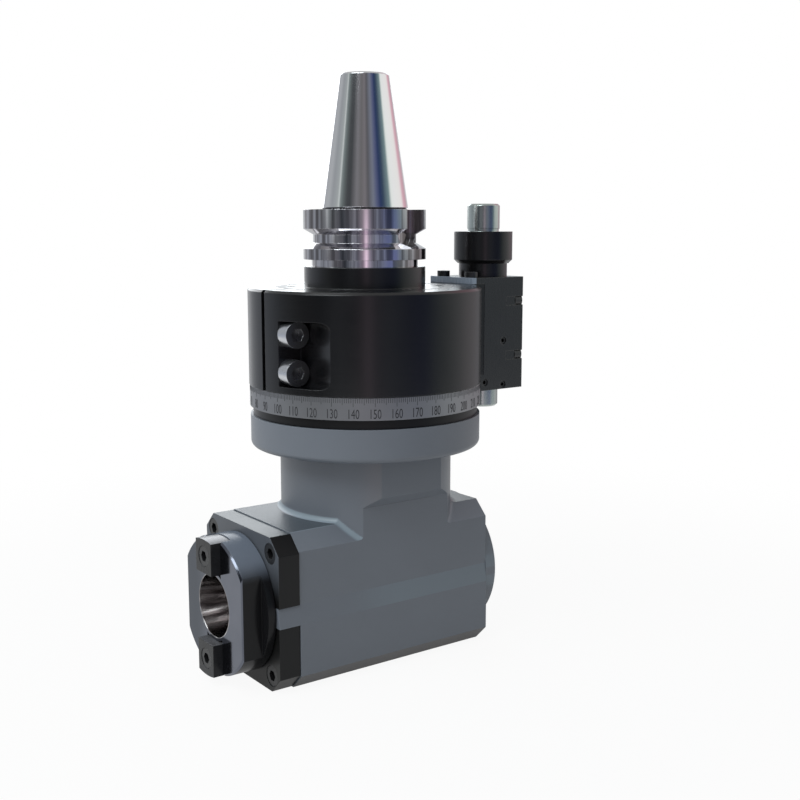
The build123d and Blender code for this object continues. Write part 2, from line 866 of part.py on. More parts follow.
# Output spindle: nose with taper socket, bearing seats and shaft
socket_end = nose_front + socket_depth
socket_end_radius = socket_radius - socket_depth * taper_slope
spacer_start = front_bearing_end
output_gear_front = -toe_root[1]
key_x = -(gear_back + toe_root[1]) / 2
gear_key_length = 12.0
nose_flats = Plane(origin=(nose_front, 0, axis_z), x_dir=(0, 1, 0), z_dir=(1, 0, 0))
key_middle = (drive_key_inner + drive_key_outer) / 2
key_radial = drive_key_outer - drive_key_inner
key_spots = [(0, -key_middle), (0, key_middle)]
key_screw_spots = [(0, -drive_key_screw_radius), (0, drive_key_screw_radius)]
key_face = nose_front - drive_key_reach
with BuildPart() as output_spindle:
    with BuildSketch(Plane.XZ):
        with BuildLine():
            Polyline(
                (nose_front, axis_z + socket_radius),
                (nose_front, axis_z + nose_radius),
                (nose_back, axis_z + nose_radius),
                (nose_back, axis_z + seal_land_radius),
                (front_bearing_start, axis_z + seal_land_radius),
                (front_bearing_start, axis_z + front_bearing_bore),
                (front_bearing_end, axis_z + front_bearing_bore),
                (front_bearing_end, axis_z + spindle_shaft_radius),
                (rear_bearing_start, axis_z + spindle_shaft_radius),
                (rear_bearing_start, axis_z + rear_bearing_bore),
                (rear_bearing_end, axis_z + rear_bearing_bore),
                (rear_bearing_end, axis_z + rear_bearing_bore - 0.5),
                (shaft_end, axis_z + rear_bearing_bore - 0.5),
                (shaft_end, axis_z + draw_bolt_bore),
                (socket_end, axis_z + draw_bolt_bore),
                (socket_end, axis_z + socket_end_radius),
                (nose_front, axis_z + socket_radius),
            )
        make_face()
    revolve(axis=output_axis)
    nose_rim = (
        output_spindle.edges()
        .filter_by(GeomType.CIRCLE)
        .filter_by(lambda e: abs(e.radius - nose_radius) < 0.01)
        .sort_by(Axis.X)[0]
    )
    chamfer(nose_rim, 1.0)
    with BuildSketch(nose_flats):
        Circle(2 * nose_radius)
        Rectangle(2 * nose_flat, 4 * nose_radius, mode=Mode.SUBTRACT)
    extrude(amount=nose_flat_length, mode=Mode.SUBTRACT)
    with BuildSketch(nose_flats):
        with Locations(*key_spots):
            Rectangle(drive_key_width + 2 * fit_gap, key_radial + 10)
        Circle(drive_key_inner - fit_gap, mode=Mode.SUBTRACT)
    extrude(amount=drive_key_sink, mode=Mode.SUBTRACT)
    drill(
        towards_nose.offset(-nose_front - drive_key_sink),
        m6[0] + thread_gap,
        drive_key_screw_tap + m6[2] + screw_gap - drive_key_reach - drive_key_sink,
        key_screw_spots,
    )
    # Keyway for the output gear
    with Locations((key_x, 0, axis_z + spindle_shaft_radius)):
        Box(
            gear_key_length + 2 * fit_gap,
            key_width + 2 * fit_gap,
            key_height + 2 * fit_gap,
            mode=Mode.SUBTRACT,
        )
save(output_spindle, "output_spindle")

with BuildPart() as drive_keys:
    with BuildSketch(towards_nose.offset(-nose_front - drive_key_sink)):
        with Locations(*key_spots):
            Rectangle(drive_key_width, key_radial)
        Circle(drive_key_outer, mode=Mode.INTERSECT)
    extrude(amount=drive_key_sink + drive_key_reach)
    drill(towards_nose.offset(-key_face), m6[0] + screw_gap, drive_key_sink + drive_key_reach, key_screw_spots)
    drill(towards_nose.offset(-key_face), m6[1] + screw_gap, m6[2] + screw_gap, key_screw_spots)
save(drive_keys, "drive_keys")

drive_key_screws = cap_screws(
    towards_nose.offset(-key_face - m6[2] - screw_gap),
    key_screw_spots,
    m6,
    drive_key_screw_length,
)
save(drive_key_screws, "drive_key_screws")

draw_bolt = cap_screws(
    towards_rear.offset(shaft_end),
    [(0, 0)],
    (draw_bolt_radius, draw_bolt_head_radius, draw_bolt_head_height, 10.0),
    shaft_end - draw_bolt_tip,
)
save(draw_bolt, "draw_bolt")

front_inner_races = inner_races(
    towards_rear.offset(front_bearing_start),
    front_bearing_bore,
    front_bearing_width,
    2,
)
save(front_inner_races, "front_bearing_inner_races")

rear_inner_race = inner_races(towards_rear.offset(rear_bearing_start), rear_bearing_bore, rear_bearing_width)
save(rear_inner_race, "rear_bearing_inner_race")

gear_spacer = ring(
    towards_rear.offset(spacer_start),
    front_bearing_bore + 2,
    spindle_shaft_radius + fit_gap,
    spacer_length,
)
save(gear_spacer, "gear_spacer")

rear_locknut = locknut(
    towards_rear.offset(rear_bearing_end),
    rear_nut_radius,
    rear_bearing_bore - 0.5,
    rear_nut_length,
)
save(rear_locknut, "rear_locknut")

spindle_locknut = locknut(
    towards_rear.offset(output_gear_front),
    spindle_nut_radius,
    spindle_shaft_radius,
    spindle_nut_length,
)
save(spindle_locknut, "spindle_locknut")

# The output gear is the same gear, turned onto the output axis half a tooth out of step
with BuildPart() as upright_gear:
    add(gear_blank(gear_back, gear_hub_radius, spindle_shaft_radius + fit_gap).part)
    with Locations((0, 0, axis_z + (gear_back + toe_root[1]) / 2)):
        with PolarLocations(spindle_shaft_radius, 1, start_angle=-180 / gear_teeth):
            Box(
                key_height + 2 * fit_gap,
                key_width + 2 * fit_gap,
                gear_back - toe_root[1] + 1,
                mode=Mode.SUBTRACT,
            )
half_step = Location((0, 0, 0), (0, 0, 180 / gear_teeth))
onto_output_axis = Location((0, 0, axis_z), (0, -90, 0)) * Location((0, 0, -axis_z))
with BuildPart() as output_gear:
    add(upright_gear.part.moved(onto_output_axis * half_step))
save(output_gear, "output_gear")

with BuildPart() as output_gear_key:
    with Locations((key_x, 0, axis_z + spindle_shaft_radius)):
        Box(gear_key_length, key_width, key_height)
save(output_gear_key, "output_gear_key")

# Stop ring: split by a slit, with a pocket for the clamp screws and a lug for the stop block
pocket_z = ring_top - pocket_drop
pocket_floor = sleeve_radius + pocket_floor_wall
clamp_x = -pocket_floor - m8[1] - 0.1
clamp_spots = [(clamp_x, pocket_z + clamp_screw_pitch * k / 2) for k in (-1, 1)]
pocket_plane = Plane(origin=(0, -pocket_wall, 0), x_dir=(1, 0, 0), z_dir=(0, -1, 0))
clamp_length = 28.0
lug_end = ring_radius + lug_reach
block_inner = lug_end + thread_gap
block_start = ring_radius - block_hook
block_foot = ring_radius + block_foot_hook
block_end = ring_radius + block_reach
block_top = ring_top + block_top_rise
block_bottom = block_top - block_height
lug_width = block_width - lug_play
top_spots = [(block_start + top_screw_inset, y) for y in (-top_screw_y, top_screw_y)]
rear_spots = [
    (y, ring_top - drop - axis_z) for y in (-block_screw_y, block_screw_y) for drop in block_screw_drops
]
rear_seat = block_end - block_screw_seat
side_slots = [
    (block_end - side_slot_length / 2, y, ring_top - drop)
    for y in (-block_width / 2, block_width / 2)
    for drop in block_screw_drops
]
with BuildPart() as stop_ring:
    with BuildSketch(Plane.XY.offset(ring_bottom)):
        Circle(ring_radius)
        with Locations(((sleeve_radius + lug_end) / 2, 0)):
            Rectangle(lug_end - sleeve_radius, lug_width)
        Circle(sleeve_radius + fit_gap, mode=Mode.SUBTRACT)
        with Locations((-ring_radius, 0)):
            Rectangle(2 * (ring_radius - sleeve_radius) + 4, slit_width, mode=Mode.SUBTRACT)
    extrude(amount=ring_height)
    ring_rim = (
        stop_ring.edges()
        .filter_by(GeomType.CIRCLE)
        .filter_by(lambda e: abs(e.radius - ring_radius) < 0.01 and e.center().Z > ring_top - 0.01)
    )
    chamfer(ring_rim, ring_chamfer)
    with BuildSketch(pocket_plane):
        with Locations((-pocket_floor - pocket_height / 2, pocket_z)):
            RectangleRounded(pocket_height, pocket_height, pocket_corner)
    extrude(amount=ring_radius, mode=Mode.SUBTRACT)
    drill(pocket_plane, m8[0] + screw_gap, pocket_wall, clamp_spots)
    drill(pocket_plane, m8[0] + thread_gap, clamp_length, clamp_spots)
    drill(Plane.XY.offset(ring_top), m4[0] + thread_gap, top_screw_tap, top_spots)
    drill(towards_rear.offset(lug_end), m5[0] + thread_gap, block_screw_tap, rear_spots)
save(stop_ring, "stop_ring")

clamp_screws = cap_screws(pocket_plane, clamp_spots, m8, clamp_length)
save(clamp_screws, "clamp_screws")

# Stop block: hooks over and under the lug, and guides the pin
pin_offset = ring_radius + pin_reach
pin_axis = [(pin_offset, 0)]
side_face = Plane(origin=(0, -block_width / 2, 0), x_dir=(1, 0, 0), z_dir=(0, -1, 0))
guide_z = ring_top - guide_drop
plug_spots = [(pin_offset, block_bottom + 2.5), (lug_end + 1, block_bottom + 4.5)]
guide_spot = [(pin_offset, guide_z)]
bush_bottom = block_top - bush_sink
bush_top = block_top + bush_rise
with BuildPart() as stop_block:
    with BuildSketch(Plane.XZ):
        with BuildLine():
            Polyline(
                (block_start, ring_top + fit_gap),
                (block_start, block_top),
                (block_end, block_top),
                (block_end, block_bottom),
                (block_foot, block_bottom),
                (block_foot, ring_bottom - fit_gap),
                (block_inner, ring_bottom - fit_gap),
                (block_inner, ring_top + fit_gap),
                (block_start, ring_top + fit_gap),
            )
        make_face()
    extrude(amount=block_width / 2, both=True)
    drill(Plane.XY.offset(block_top), pin_radius + running_gap / 2, block_height, pin_axis)
    drill(Plane.XY.offset(block_top), bush_radius + fit_gap, bush_sink, pin_axis)
    drill(Plane.XY.offset(block_top), m4[0] + screw_gap, block_top_rise, top_spots)
    drill(towards_rear.offset(block_end), m5[1] + screw_gap, block_screw_seat, rear_spots)
    drill(towards_rear.offset(rear_seat), m5[0] + screw_gap, rear_seat - block_inner, rear_spots)
    drill(side_face, m4[0] + thread_gap, block_width / 2 - pin_radius, guide_spot)
    drill(side_face, m4[0] + thread_gap, plug_length + plug_sink + fit_gap, plug_spots)
    # A shallow slot in the side runs out over the head of each rear screw
    with Locations(*side_slots):
        Box(side_slot_length, 2 * side_slot_depth, side_slot_height, mode=Mode.SUBTRACT)
save(stop_block, "stop_block")

block_top_screws = cap_screws(
    Plane.XY.offset(block_top),
    top_spots,
    (m4[0], m4[1], top_screw_head, m4[3]),
    top_screw_length,
)
save(block_top_screws, "block_top_screws")

block_rear_screws = cap_screws(towards_rear.offset(rear_seat), rear_spots, m5, block_screw_length)
save(block_rear_screws, "block_rear_screws")

block_plugs = set_screws(side_face.offset(-plug_sink), plug_spots, m4, plug_length)
save(block_plugs, "block_plugs")

# The guide screw has a plain tip that runs in the slot of the pin
guide_tip_end = block_width / 2 - pin_radius + guide_slot_depth - screw_gap
with BuildPart() as guide_screw:
    add(set_screws(side_face.offset(-plug_sink), guide_spot, m4, guide_screw_length).part)
    with BuildSketch(side_face.offset(-plug_sink - guide_screw_length + 0.5)):
        with Locations(*guide_spot):
            Circle(guide_tip_radius)
    extrude(amount=-(guide_tip_end - plug_sink - guide_screw_length + 0.5))
save(guide_screw, "guide_screw")

# Guide bush, its bore widened for the spring
bush_floor = bush_bottom + bush_floor_thickness
with BuildPart() as guide_bush:
    with BuildSketch(Plane.XY.offset(bush_bottom)):
        with Locations(*pin_axis):
            Circle(bush_radius)
    extrude(amount=bush_sink + bush_rise)
    drill(Plane.XY.offset(bush_top), pin_radius + running_gap / 2, bush_sink + bush_rise, pin_axis)
    drill(Plane.XY.offset(bush_top), bush_bore, bush_top - bush_floor, pin_axis)
save(guide_bush, "guide_bush")

# Stop pin with its guide slot
pin_top = ring_top + pin_top_rise
pin_bottom = pin_top - pin_length
collar_z = block_top + collar_lift
collar_roof_z = collar_z + collar_length
slot_play = 3 * guide_slot_play
slot_low = guide_z - guide_tip_radius - slot_play
slot_high = guide_z + pin_travel + guide_tip_radius + slot_play
with BuildPart() as stop_pin:
    with BuildSketch(Plane.XY.offset(pin_bottom)):
        with Locations(*pin_axis):
            Circle(pin_radius)
    extrude(amount=pin_length)
    pin_rims = stop_pin.edges().filter_by(GeomType.CIRCLE)
    chamfer(pin_rims, pin_chamfer)
    with BuildSketch(Plane(origin=(0, -pin_radius, 0), x_dir=(1, 0, 0), z_dir=(0, -1, 0))):
        with Locations((pin_offset, (slot_low + slot_high) / 2)):
            SlotOverall(slot_high - slot_low, 2 * guide_tip_radius + 2 * guide_slot_play, rotation=90)
    extrude(amount=-guide_slot_depth - guide_slot_play, mode=Mode.SUBTRACT)
    # Undercut where the pin leaves the collar
    with BuildSketch(Plane.XY.offset(collar_roof_z)):
        with Locations(*pin_axis):
            Circle(pin_radius + 1)
            Circle(pin_neck_radius, mode=Mode.SUBTRACT)
    extrude(amount=pin_neck_length, mode=Mode.SUBTRACT)
save(stop_pin, "stop_pin")

# Stop collar: a cup fixed on the pin, covering the spring
roof_z = collar_roof_z - collar_roof
collar_face = Plane(origin=(pin_offset + collar_outer, 0, 0), x_dir=(0, 1, 0), z_dir=(1, 0, 0))
collar_spot = [(0, roof_z + collar_roof / 2)]
with BuildPart() as stop_collar:
    with BuildSketch(Plane.XY.offset(collar_z)):
        with Locations(*pin_axis):
            Circle(collar_outer)
    extrude(amount=collar_length)
    collar_foot = stop_collar.edges().filter_by(GeomType.CIRCLE).sort_by(Axis.Z)[0]
    chamfer(collar_foot, collar_lower_chamfer)
    drill(Plane.XY.offset(collar_z + collar_length), pin_radius + fit_gap, collar_length, pin_axis)
    drill(Plane.XY.offset(roof_z), bush_radius + running_gap, roof_z - collar_z, pin_axis)
    drill(collar_face, m3[0] + thread_gap - 0.3, collar_outer - pin_radius, collar_spot)
save(stop_collar, "stop_collar")

collar_screw = set_screws(collar_face.offset(-1.0), collar_spot, (m3[0] - 0.3, 0, 0, 1.2), 6.0)
save(collar_screw, "collar_screw")

# Spring between the floor of the bush and the roof of the collar
spring_bottom = bush_floor + spring_wire + fit_gap
spring_height = roof_z - bush_floor - 2 * spring_wire - 2 * fit_gap
with BuildPart() as stop_spring:
    with BuildLine() as coil:
        Helix(
            spring_height / spring_turns,
            spring_height,
            spring_mean_radius,
            center=(pin_offset, 0, spring_bottom),
        )
    with BuildSketch(Plane(origin=coil.line @ 0, z_dir=coil.line % 0)):
        RegularPolygon(radius=spring_wire, side_count=8)
    sweep(path=coil.line, is_frenet=True)
save(stop_spring, "stop_spring")
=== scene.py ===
"""Looks of the right-angle milling head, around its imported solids. Metres, +Z up."""

import math

import bmesh
import bpy
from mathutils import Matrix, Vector


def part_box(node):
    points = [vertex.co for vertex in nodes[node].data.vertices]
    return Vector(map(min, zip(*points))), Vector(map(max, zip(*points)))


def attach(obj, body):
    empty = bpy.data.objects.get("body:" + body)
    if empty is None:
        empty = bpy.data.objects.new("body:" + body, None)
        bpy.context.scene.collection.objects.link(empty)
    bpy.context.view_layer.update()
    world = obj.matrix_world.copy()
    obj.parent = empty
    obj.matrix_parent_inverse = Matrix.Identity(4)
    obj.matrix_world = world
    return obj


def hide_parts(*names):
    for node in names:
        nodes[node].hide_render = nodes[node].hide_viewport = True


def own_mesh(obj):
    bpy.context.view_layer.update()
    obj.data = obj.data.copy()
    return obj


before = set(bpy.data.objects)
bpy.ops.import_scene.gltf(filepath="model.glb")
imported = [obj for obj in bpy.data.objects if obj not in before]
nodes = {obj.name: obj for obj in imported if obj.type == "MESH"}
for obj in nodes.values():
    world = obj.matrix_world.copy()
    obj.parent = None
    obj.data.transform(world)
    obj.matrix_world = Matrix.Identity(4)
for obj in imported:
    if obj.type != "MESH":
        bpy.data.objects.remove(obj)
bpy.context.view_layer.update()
scene = bpy.context.scene
scene.view_settings.view_transform = "Standard"


# Camera
# The photograph was taken from in front of the nose, off to one side and a little above the
# stop ring, with a lens of about 51 mm on a 36 mm frame. The camera looks down by nearly
# nine degrees and isn't rolled.

CAMERA_PLACE = (-0.3324, -0.4850, 0.2238)
CAMERA_BEARING = 0.939
CAMERA_TILT = 0.153
CAMERA_LENS = 50.78
CAMERA_FRAME = 36
CAMERA_NEAREST = 0.01

view_line = Vector(
    (
        math.cos(CAMERA_TILT) * math.cos(CAMERA_BEARING),
        math.cos(CAMERA_TILT) * math.sin(CAMERA_BEARING),
        -math.sin(CAMERA_TILT),
    )
)
camera_data = bpy.data.cameras.new("camera")
camera_data.lens = CAMERA_LENS
camera_data.sensor_width = CAMERA_FRAME
camera_data.sensor_fit = "HORIZONTAL"
camera_data.clip_start = CAMERA_NEAREST
camera = bpy.data.objects.new("camera", camera_data)
camera.location = CAMERA_PLACE
camera.rotation_euler = view_line.to_track_quat("-Z", "Y").to_euler()
scene.collection.objects.link(camera)
scene.camera = camera


# Head housing and end cap
# The head is one iron casting, body, neck and flange, milled to size. It and the cap that
# closes its rear are sprayed with blue-grey enamel, which has orange peel and worn edges.


class Value:
    """One socket of a finish. Ordinary arithmetic on it adds Math nodes."""

    def __init__(self, finish, socket):
        self.finish = finish
        self.socket = socket

    def maths(self, operation, *others):
        return self.finish.node("ShaderNodeMath", {"operation": operation}, [self, *others])

    def __add__(self, other):
        return self.maths("ADD", other)

    def __sub__(self, other):
        return self.maths("SUBTRACT", other)

    def __mul__(self, other):
        return self.maths("MULTIPLY", other)

    def __truediv__(self, other):
        return self.maths("DIVIDE", other)

    def __rsub__(self, other):
        return self.finish.node("ShaderNodeMath", {"operation": "SUBTRACT"}, [other, self])

    __radd__ = __add__
    __rmul__ = __mul__

    def held(self):
        """The value kept between 0 and 1."""
        settings = {"operation": "ADD", "use_clamp": True}
        return self.finish.node("ShaderNodeMath", settings, [self, 0.0])

    def step(self, low, high):
        """0 below low, 1 above high, and smooth between."""
        settings = {"interpolation_type": "SMOOTHSTEP"}
        return self.finish.node("ShaderNodeMapRange", settings, [self, low, high, 0.0, 1.0])

    def within(self, rise, fall):
        """1 in a band and 0 outside it: rise and fall are its steps in and out."""
        return self.step(*rise) * (1 - self.step(*fall))


class Finish:
    """One material in the making, which takes numbers, colours and Values."""

    def __init__(self, name, **surface):
        self.material = bpy.data.materials.new(name)
        self.material.use_nodes = True
        self.tree = self.material.node_tree
        self.shader = self.tree.nodes["Principled BSDF"]
        for socket, value in surface.items():
            self.set(socket.replace("_", " "), value)

    def node(self, kind, settings=None, values=(), output=0):
        """Adds a node, sets its options and then its sockets, and gives one of its outputs."""
        made = self.tree.nodes.new(kind)
        for option, choice in (settings or {}).items():
            if option == "stops":
                self.stops(made.color_ramp, choice)
            else:
                setattr(made, option, choice)
        places = values.items() if isinstance(values, dict) else enumerate(values)
        for place, value in places:
            if isinstance(value, Value):
                self.tree.links.new(value.socket, made.inputs[place])
            else:
                made.inputs[place].default_value = value
        return Value(self, made.outputs[output])

    @staticmethod
    def stops(band, choice):
        """Fills a colour band with places from 0 to 1 and their colours."""
        for spot, colour in choice[1:-1]:
            band.elements.new(spot).color = (*colour, 1.0)
        for end in (0, -1):
            spot, colour = choice[end]
            band.elements[end].position = spot
            band.elements[end].color = (*colour, 1.0)

    def set(self, socket, value):
        """Sets or links a socket of the surface shader."""
        if isinstance(value, Value):
            self.tree.links.new(value.socket, self.shader.inputs[socket])
        else:
            self.shader.inputs[socket].default_value = value

    def place(self):
        """The point on the piece, in metres, as a vector."""
        return self.node("ShaderNodeTexCoord", output="Object")

    def part(self, axis):
        """One of the point's three coordinates: 0 for X, 1 for Y, 2 for Z."""
        return self.node("ShaderNodeSeparateXYZ", None, [self.place()], axis)

    def faces(self, axis):
        """1 where the surface looks straight along an axis, either way, and 0 across it."""
        facing = self.node("ShaderNodeTexCoord", output="Normal")
        return self.node("ShaderNodeSeparateXYZ", None, [facing], axis).maths("ABSOLUTE")

    def noise(self, size, stretch=(1, 1, 1), detail=3.0):
        """Soft random spots of a real size in metres, drawn out along the axes by stretch."""
        scale = tuple(1 / (size * longer) for longer in stretch)
        at = self.node("ShaderNodeVectorMath", {"operation": "MULTIPLY"}, [self.place(), scale])
        values = {"Vector": at, "Scale": 1.0, "Detail": detail}
        return self.node("ShaderNodeTexNoise", None, values, "Fac")

    def blend(self, share, first, second):
        """A colour between two, by a share from 0 to 1."""
        ends = [end if isinstance(end, Value) else (*end, 1.0) for end in (first, second)]
        values = {"Factor": share, 6: ends[0], 7: ends[1]}
        return self.node("ShaderNodeMix", {"data_type": "RGBA"}, values, 2)

    def worn_edges(self, radius):
        """1 on the sharp edges and corners within radius, 0 on flat ground."""
        rounded = self.node("ShaderNodeBevel", {"samples": 4}, {"Radius": radius})
        flat = self.node("ShaderNodeNewGeometry", output="Normal")
        same = self.node("ShaderNodeVectorMath", {"operation": "DOT_PRODUCT"}, [rounded, flat], 1)
        return (1 - same).step(0.01, 0.2)

    def relief(self, height, depth, edge):
        """Roughens the surface by a height from 0 to 1, and rounds its edges unless edge is 0."""
        values = {"Strength": 1.0, "Distance": depth, "Height": height}
        if edge:
            values["Normal"] = self.node("ShaderNodeBevel", {"samples": 4}, {"Radius": edge})
        self.set("Normal", self.node("ShaderNodeBump", None, values))

    def dress(self, *names):
        """Gives the finish to carried-over solids."""
        for name in names:
            mesh = nodes[name].data
            mesh.materials.clear()
            mesh.materials.append(self.material)


PAINT = (0.106, 0.118, 0.140)
PAINT_WORN = (0.17, 0.19, 0.22)
CLOUD_SIZE = 0.03
PEEL_SIZE = 0.0011
PEEL_DEPTH = 0.00003
WORN_EDGE = 0.0007
SOFT_EDGE = 0.0004

# Where the coat carries painted highlights and painted shade. A pair is the low and high of
# a step, and two pairs are a band's steps in and out: first by how the surface faces, then in
# metres of height, of reach from the upright axis, and of the way rearward
SLANTED = (0.1, 0.3), (0.9, 0.97)
STEEP = (0.04, 0.08), (0.2, 0.3)
LEVEL = (0.95, 0.98)
NECK_CORNER = (0.75, 0.9), (0.985, 0.995)
NECK_FLAT = (0.97, 0.99)
FOOT_BEVEL_TOP = (0.010, 0.012)
SLOPE_HEIGHT = (0.028, 0.032), (0.047, 0.050)
REAR_BEVEL_HEIGHT = (0.066, 0.069), (0.0778, 0.0784)
SHOULDER_HEIGHT = (0.0695, 0.0705), (0.0778, 0.0782)
TOP_FACE_HEIGHT = (0.077, 0.0776), (0.0784, 0.079)
ROOT_HEIGHT = (0.0776, 0.0782), (0.0812, 0.0825)
NECK_HEIGHT = (0.0825, 0.083), (0.1105, 0.111)
LEDGE_HEIGHT = (0.0857, 0.0860), (0.0866, 0.0869)
SHOULDER_REACH = (0.0449, 0.0451), (0.0462, 0.0480)
SLOPE_START = (-0.045, 0.0)
NECK_CORNER_END = (0.0, 0.01)
ROOT_END = (0.0, 0.02)
LEDGE_END = (0.012, 0.020)
REAR_BEVEL_START = (0.015, 0.03)

# Painted highlights on the neck's root and shoulder, the rear bevel, the side slope and the
# neck's corners, and painted shade on the top face, the foot bevel and under the neck's ledge
ROOT_PAINTED_HIGHLIGHT = (0.22, 0.27, 0.31)
TOP_FACE_PAINTED_SHADE = (0.052, 0.064, 0.078)
REAR_BEVEL_PAINTED_LIGHT = (0.19, 0.21, 0.25)
FOOT_BEVEL_PAINTED_SHADE = (0.040, 0.040, 0.044)
SLOPE_PAINTED_LIGHT = (0.155, 0.185, 0.215)
NECK_CORNER_PAINTED_HIGHLIGHT = (0.16, 0.165, 0.185)
LEDGE_PAINTED_SHADOW = (0.030, 0.032, 0.036)

enamel = Finish("grey_enamel", Metallic=0.0, Specular_IOR_Level=0.5)
clouds = enamel.noise(CLOUD_SIZE)
peel = enamel.noise(PEEL_SIZE, detail=2.0)
worn = (0.35 + 0.3 * clouds + 0.9 * enamel.worn_edges(WORN_EDGE)).held()
rearward, sideways, height = (enamel.part(axis) for axis in range(3))
faces_aside, faces_up = enamel.faces(1), enamel.faces(2)
from_axis = (rearward * rearward + sideways * sideways).maths("SQRT")
slanted = faces_up.within(*SLANTED)
# Masks for the painted highlights and painted shade
shoulder = height.within(*SHOULDER_HEIGHT) * from_axis.within(*SHOULDER_REACH)
root_highlight = slanted * (height.within(*ROOT_HEIGHT) + shoulder) * (1 - rearward.step(*ROOT_END))
top_face_shade = faces_up.step(*LEVEL) * height.within(*TOP_FACE_HEIGHT)
rear_bevel_light = slanted * height.within(*REAR_BEVEL_HEIGHT) * rearward.step(*REAR_BEVEL_START)
foot_bevel_shade = slanted * (1 - height.step(*FOOT_BEVEL_TOP))
slope_light = faces_up.within(*STEEP) * height.within(*SLOPE_HEIGHT) * rearward.step(*SLOPE_START)
neck_corner_highlight = faces_aside.within(*NECK_CORNER) * height.within(*NECK_HEIGHT)
neck_corner_highlight = neck_corner_highlight * (1 - rearward.step(*NECK_CORNER_END))
ledge_shadow = faces_aside.step(*NECK_FLAT) * height.within(*LEDGE_HEIGHT)
ledge_shadow = 0.8 * ledge_shadow * (1 - rearward.step(*LEDGE_END))
paint = enamel.blend(worn, PAINT, PAINT_WORN)
# The painted highlights and painted shade laid over the worn coat
for patch, colour in (
    (root_highlight, ROOT_PAINTED_HIGHLIGHT),
    (top_face_shade, TOP_FACE_PAINTED_SHADE),
    (rear_bevel_light, REAR_BEVEL_PAINTED_LIGHT),
    (foot_bevel_shade, FOOT_BEVEL_PAINTED_SHADE),
    (slope_light, SLOPE_PAINTED_LIGHT),
    (neck_corner_highlight, NECK_CORNER_PAINTED_HIGHLIGHT),
    (ledge_shadow, LEDGE_PAINTED_SHADOW),
):
    paint = enamel.blend(patch, paint, colour)
enamel.set("Base Color", paint)
enamel.set("Roughness", 0.30 + 0.10 * peel + 0.06 * clouds)
enamel.relief(peel, PEEL_DEPTH, SOFT_EDGE)
enamel.dress("head_housing", "end_cap")


# Upper housing
# The steel sleeve that stands on the head and carries the upper input bearings and both
# rings. It is turned and blackened in hot salts, and only its flange shows, as a dull band.

BLACK = (0.0025, 0.0025, 0.003)
BLACK_RUBBED = (0.022, 0.022, 0.024)
TOOL_LINE_WIDTH = 0.0004
TOOL_LINE_DEPTH = 0.000006
HAZE_SIZE = 0.02
RUBBED_EDGE = 0.0006
TURNED = (40, 40, 1)


def blackened(name, lines, roughness, edge=0.0005, gloss=0.8, rubbed=True):
    """Blackened steel, its tool lines drawn out along the axes, and its edges rubbed or not."""
    finish = Finish(name, Metallic=0.0, Specular_IOR_Level=gloss)
    grain = finish.noise(TOOL_LINE_WIDTH, lines, detail=2.0)
    haze = finish.noise(HAZE_SIZE)
    finish.set("Roughness", roughness + 0.08 * grain + 0.06 * haze)
    finish.relief(grain, TOOL_LINE_DEPTH, edge)
    if rubbed:
        share = (0.08 * grain + 0.1 * haze + 0.8 * finish.worn_edges(RUBBED_EDGE)).held()
        finish.set("Base Color", finish.blend(share, BLACK, BLACK_RUBBED))
    return finish


band_black = blackened("band_black_steel", TURNED, roughness=0.28, gloss=0.3)
band_black.dress("upper_housing")


# Bearings
# The rings and shields of bought bearings, hardened, ground and polished. They are pressed
# in, and held by locknuts, a circlip, the bearing cover and the front plate.

RACE_COLOUR = (0.62, 0.62, 0.64)
GRINDING_WIDTH = 0.00025
GRINDING_DEPTH = 0.000002
FILM_SIZE = 0.025
GROUND_EDGE = 0.0004


def ground_steel(name, colour, lines, roughness, spread):
    """Bare steel with fine grinding lines. A colour of None leaves it to be set afterwards."""
    finish = Finish(name, Metallic=1.0)
    grain = finish.noise(GRINDING_WIDTH, lines, detail=2.0)
    film = finish.noise(FILM_SIZE)
    finish.set("Roughness", roughness + spread * grain + 0.03 * film)
    finish.relief(grain, GRINDING_DEPTH, GROUND_EDGE)
    if colour:
        darker = tuple(0.86 * part for part in colour)
        finish.set("Base Color", finish.blend((0.5 * grain + 0.5 * film).held(), darker, colour))
    return finish


race_steel = ground_steel(
    "bearing_ring_steel", RACE_COLOUR, TURNED, roughness=0.16, spread=0.06
)
race_steel.dress(
    "upper_bearing_outer_races",
    "lower_bearing_outer_race",
    "upper_bearing_inner_races",
    "lower_bearing_inner_race",
    "front_bearing_outer_races",
    "rear_bearing_outer_race",
    "front_bearing_inner_races",
    "rear_bearing_inner_race",
)


# Circlip and wave washer
# Both are stamped from blue-tempered spring steel. The circlip holds the lower bearing, and
# the washer presses on the rear one.

SPRING_COLOUR = (0.34, 0.35, 0.38)
NO_LINES = (1, 1, 1)

spring_steel = ground_steel("spring_steel", SPRING_COLOUR, NO_LINES, roughness=0.34, spread=0.08)
spring_steel.dress("lower_circlip", "preload_washer")


# Bevel gears
# The two gears, their keys and a spacer, of case-hardened steel, cut and ground. They sit on
# the spindles where both axes cross.

GEAR_COLOUR = (0.60, 0.61, 0.63)
GROUND_ROUND = (60, 60, 1)

gear_steel = ground_steel(
    "ground_gear_steel", GEAR_COLOUR, GROUND_ROUND, roughness=0.28, spread=0.10
)
gear_steel.dress("input_gear", "input_gear_key", "output_gear", "gear_spacer", "output_gear_key")


# Taper shank
# The input spindle, hardened steel in one piece: a polished 40-size steep taper over a
# V-flange. The flange has upright streaks, with painted shade on its sides and a painted
# reflection down its middle, and the undercut at the taper's foot has painted shade.

TAPER_SHADES = (0.70, 0.70, 0.72), (0.80, 0.80, 0.81)
STREAK_TONES = (0.30, 0.29, 0.31), (0.90, 0.88, 0.92)
SIDE_PAINTED_SHADE_TONES = (0.13, 0.12, 0.12), (0.50, 0.49, 0.51)
MIDDLE_PAINTED_REFLECTION_TONES = (0.72, 0.70, 0.74), (1.0, 0.97, 1.0)
UNDERCUT_PAINTED_SHADE = (0.03, 0.03, 0.035)
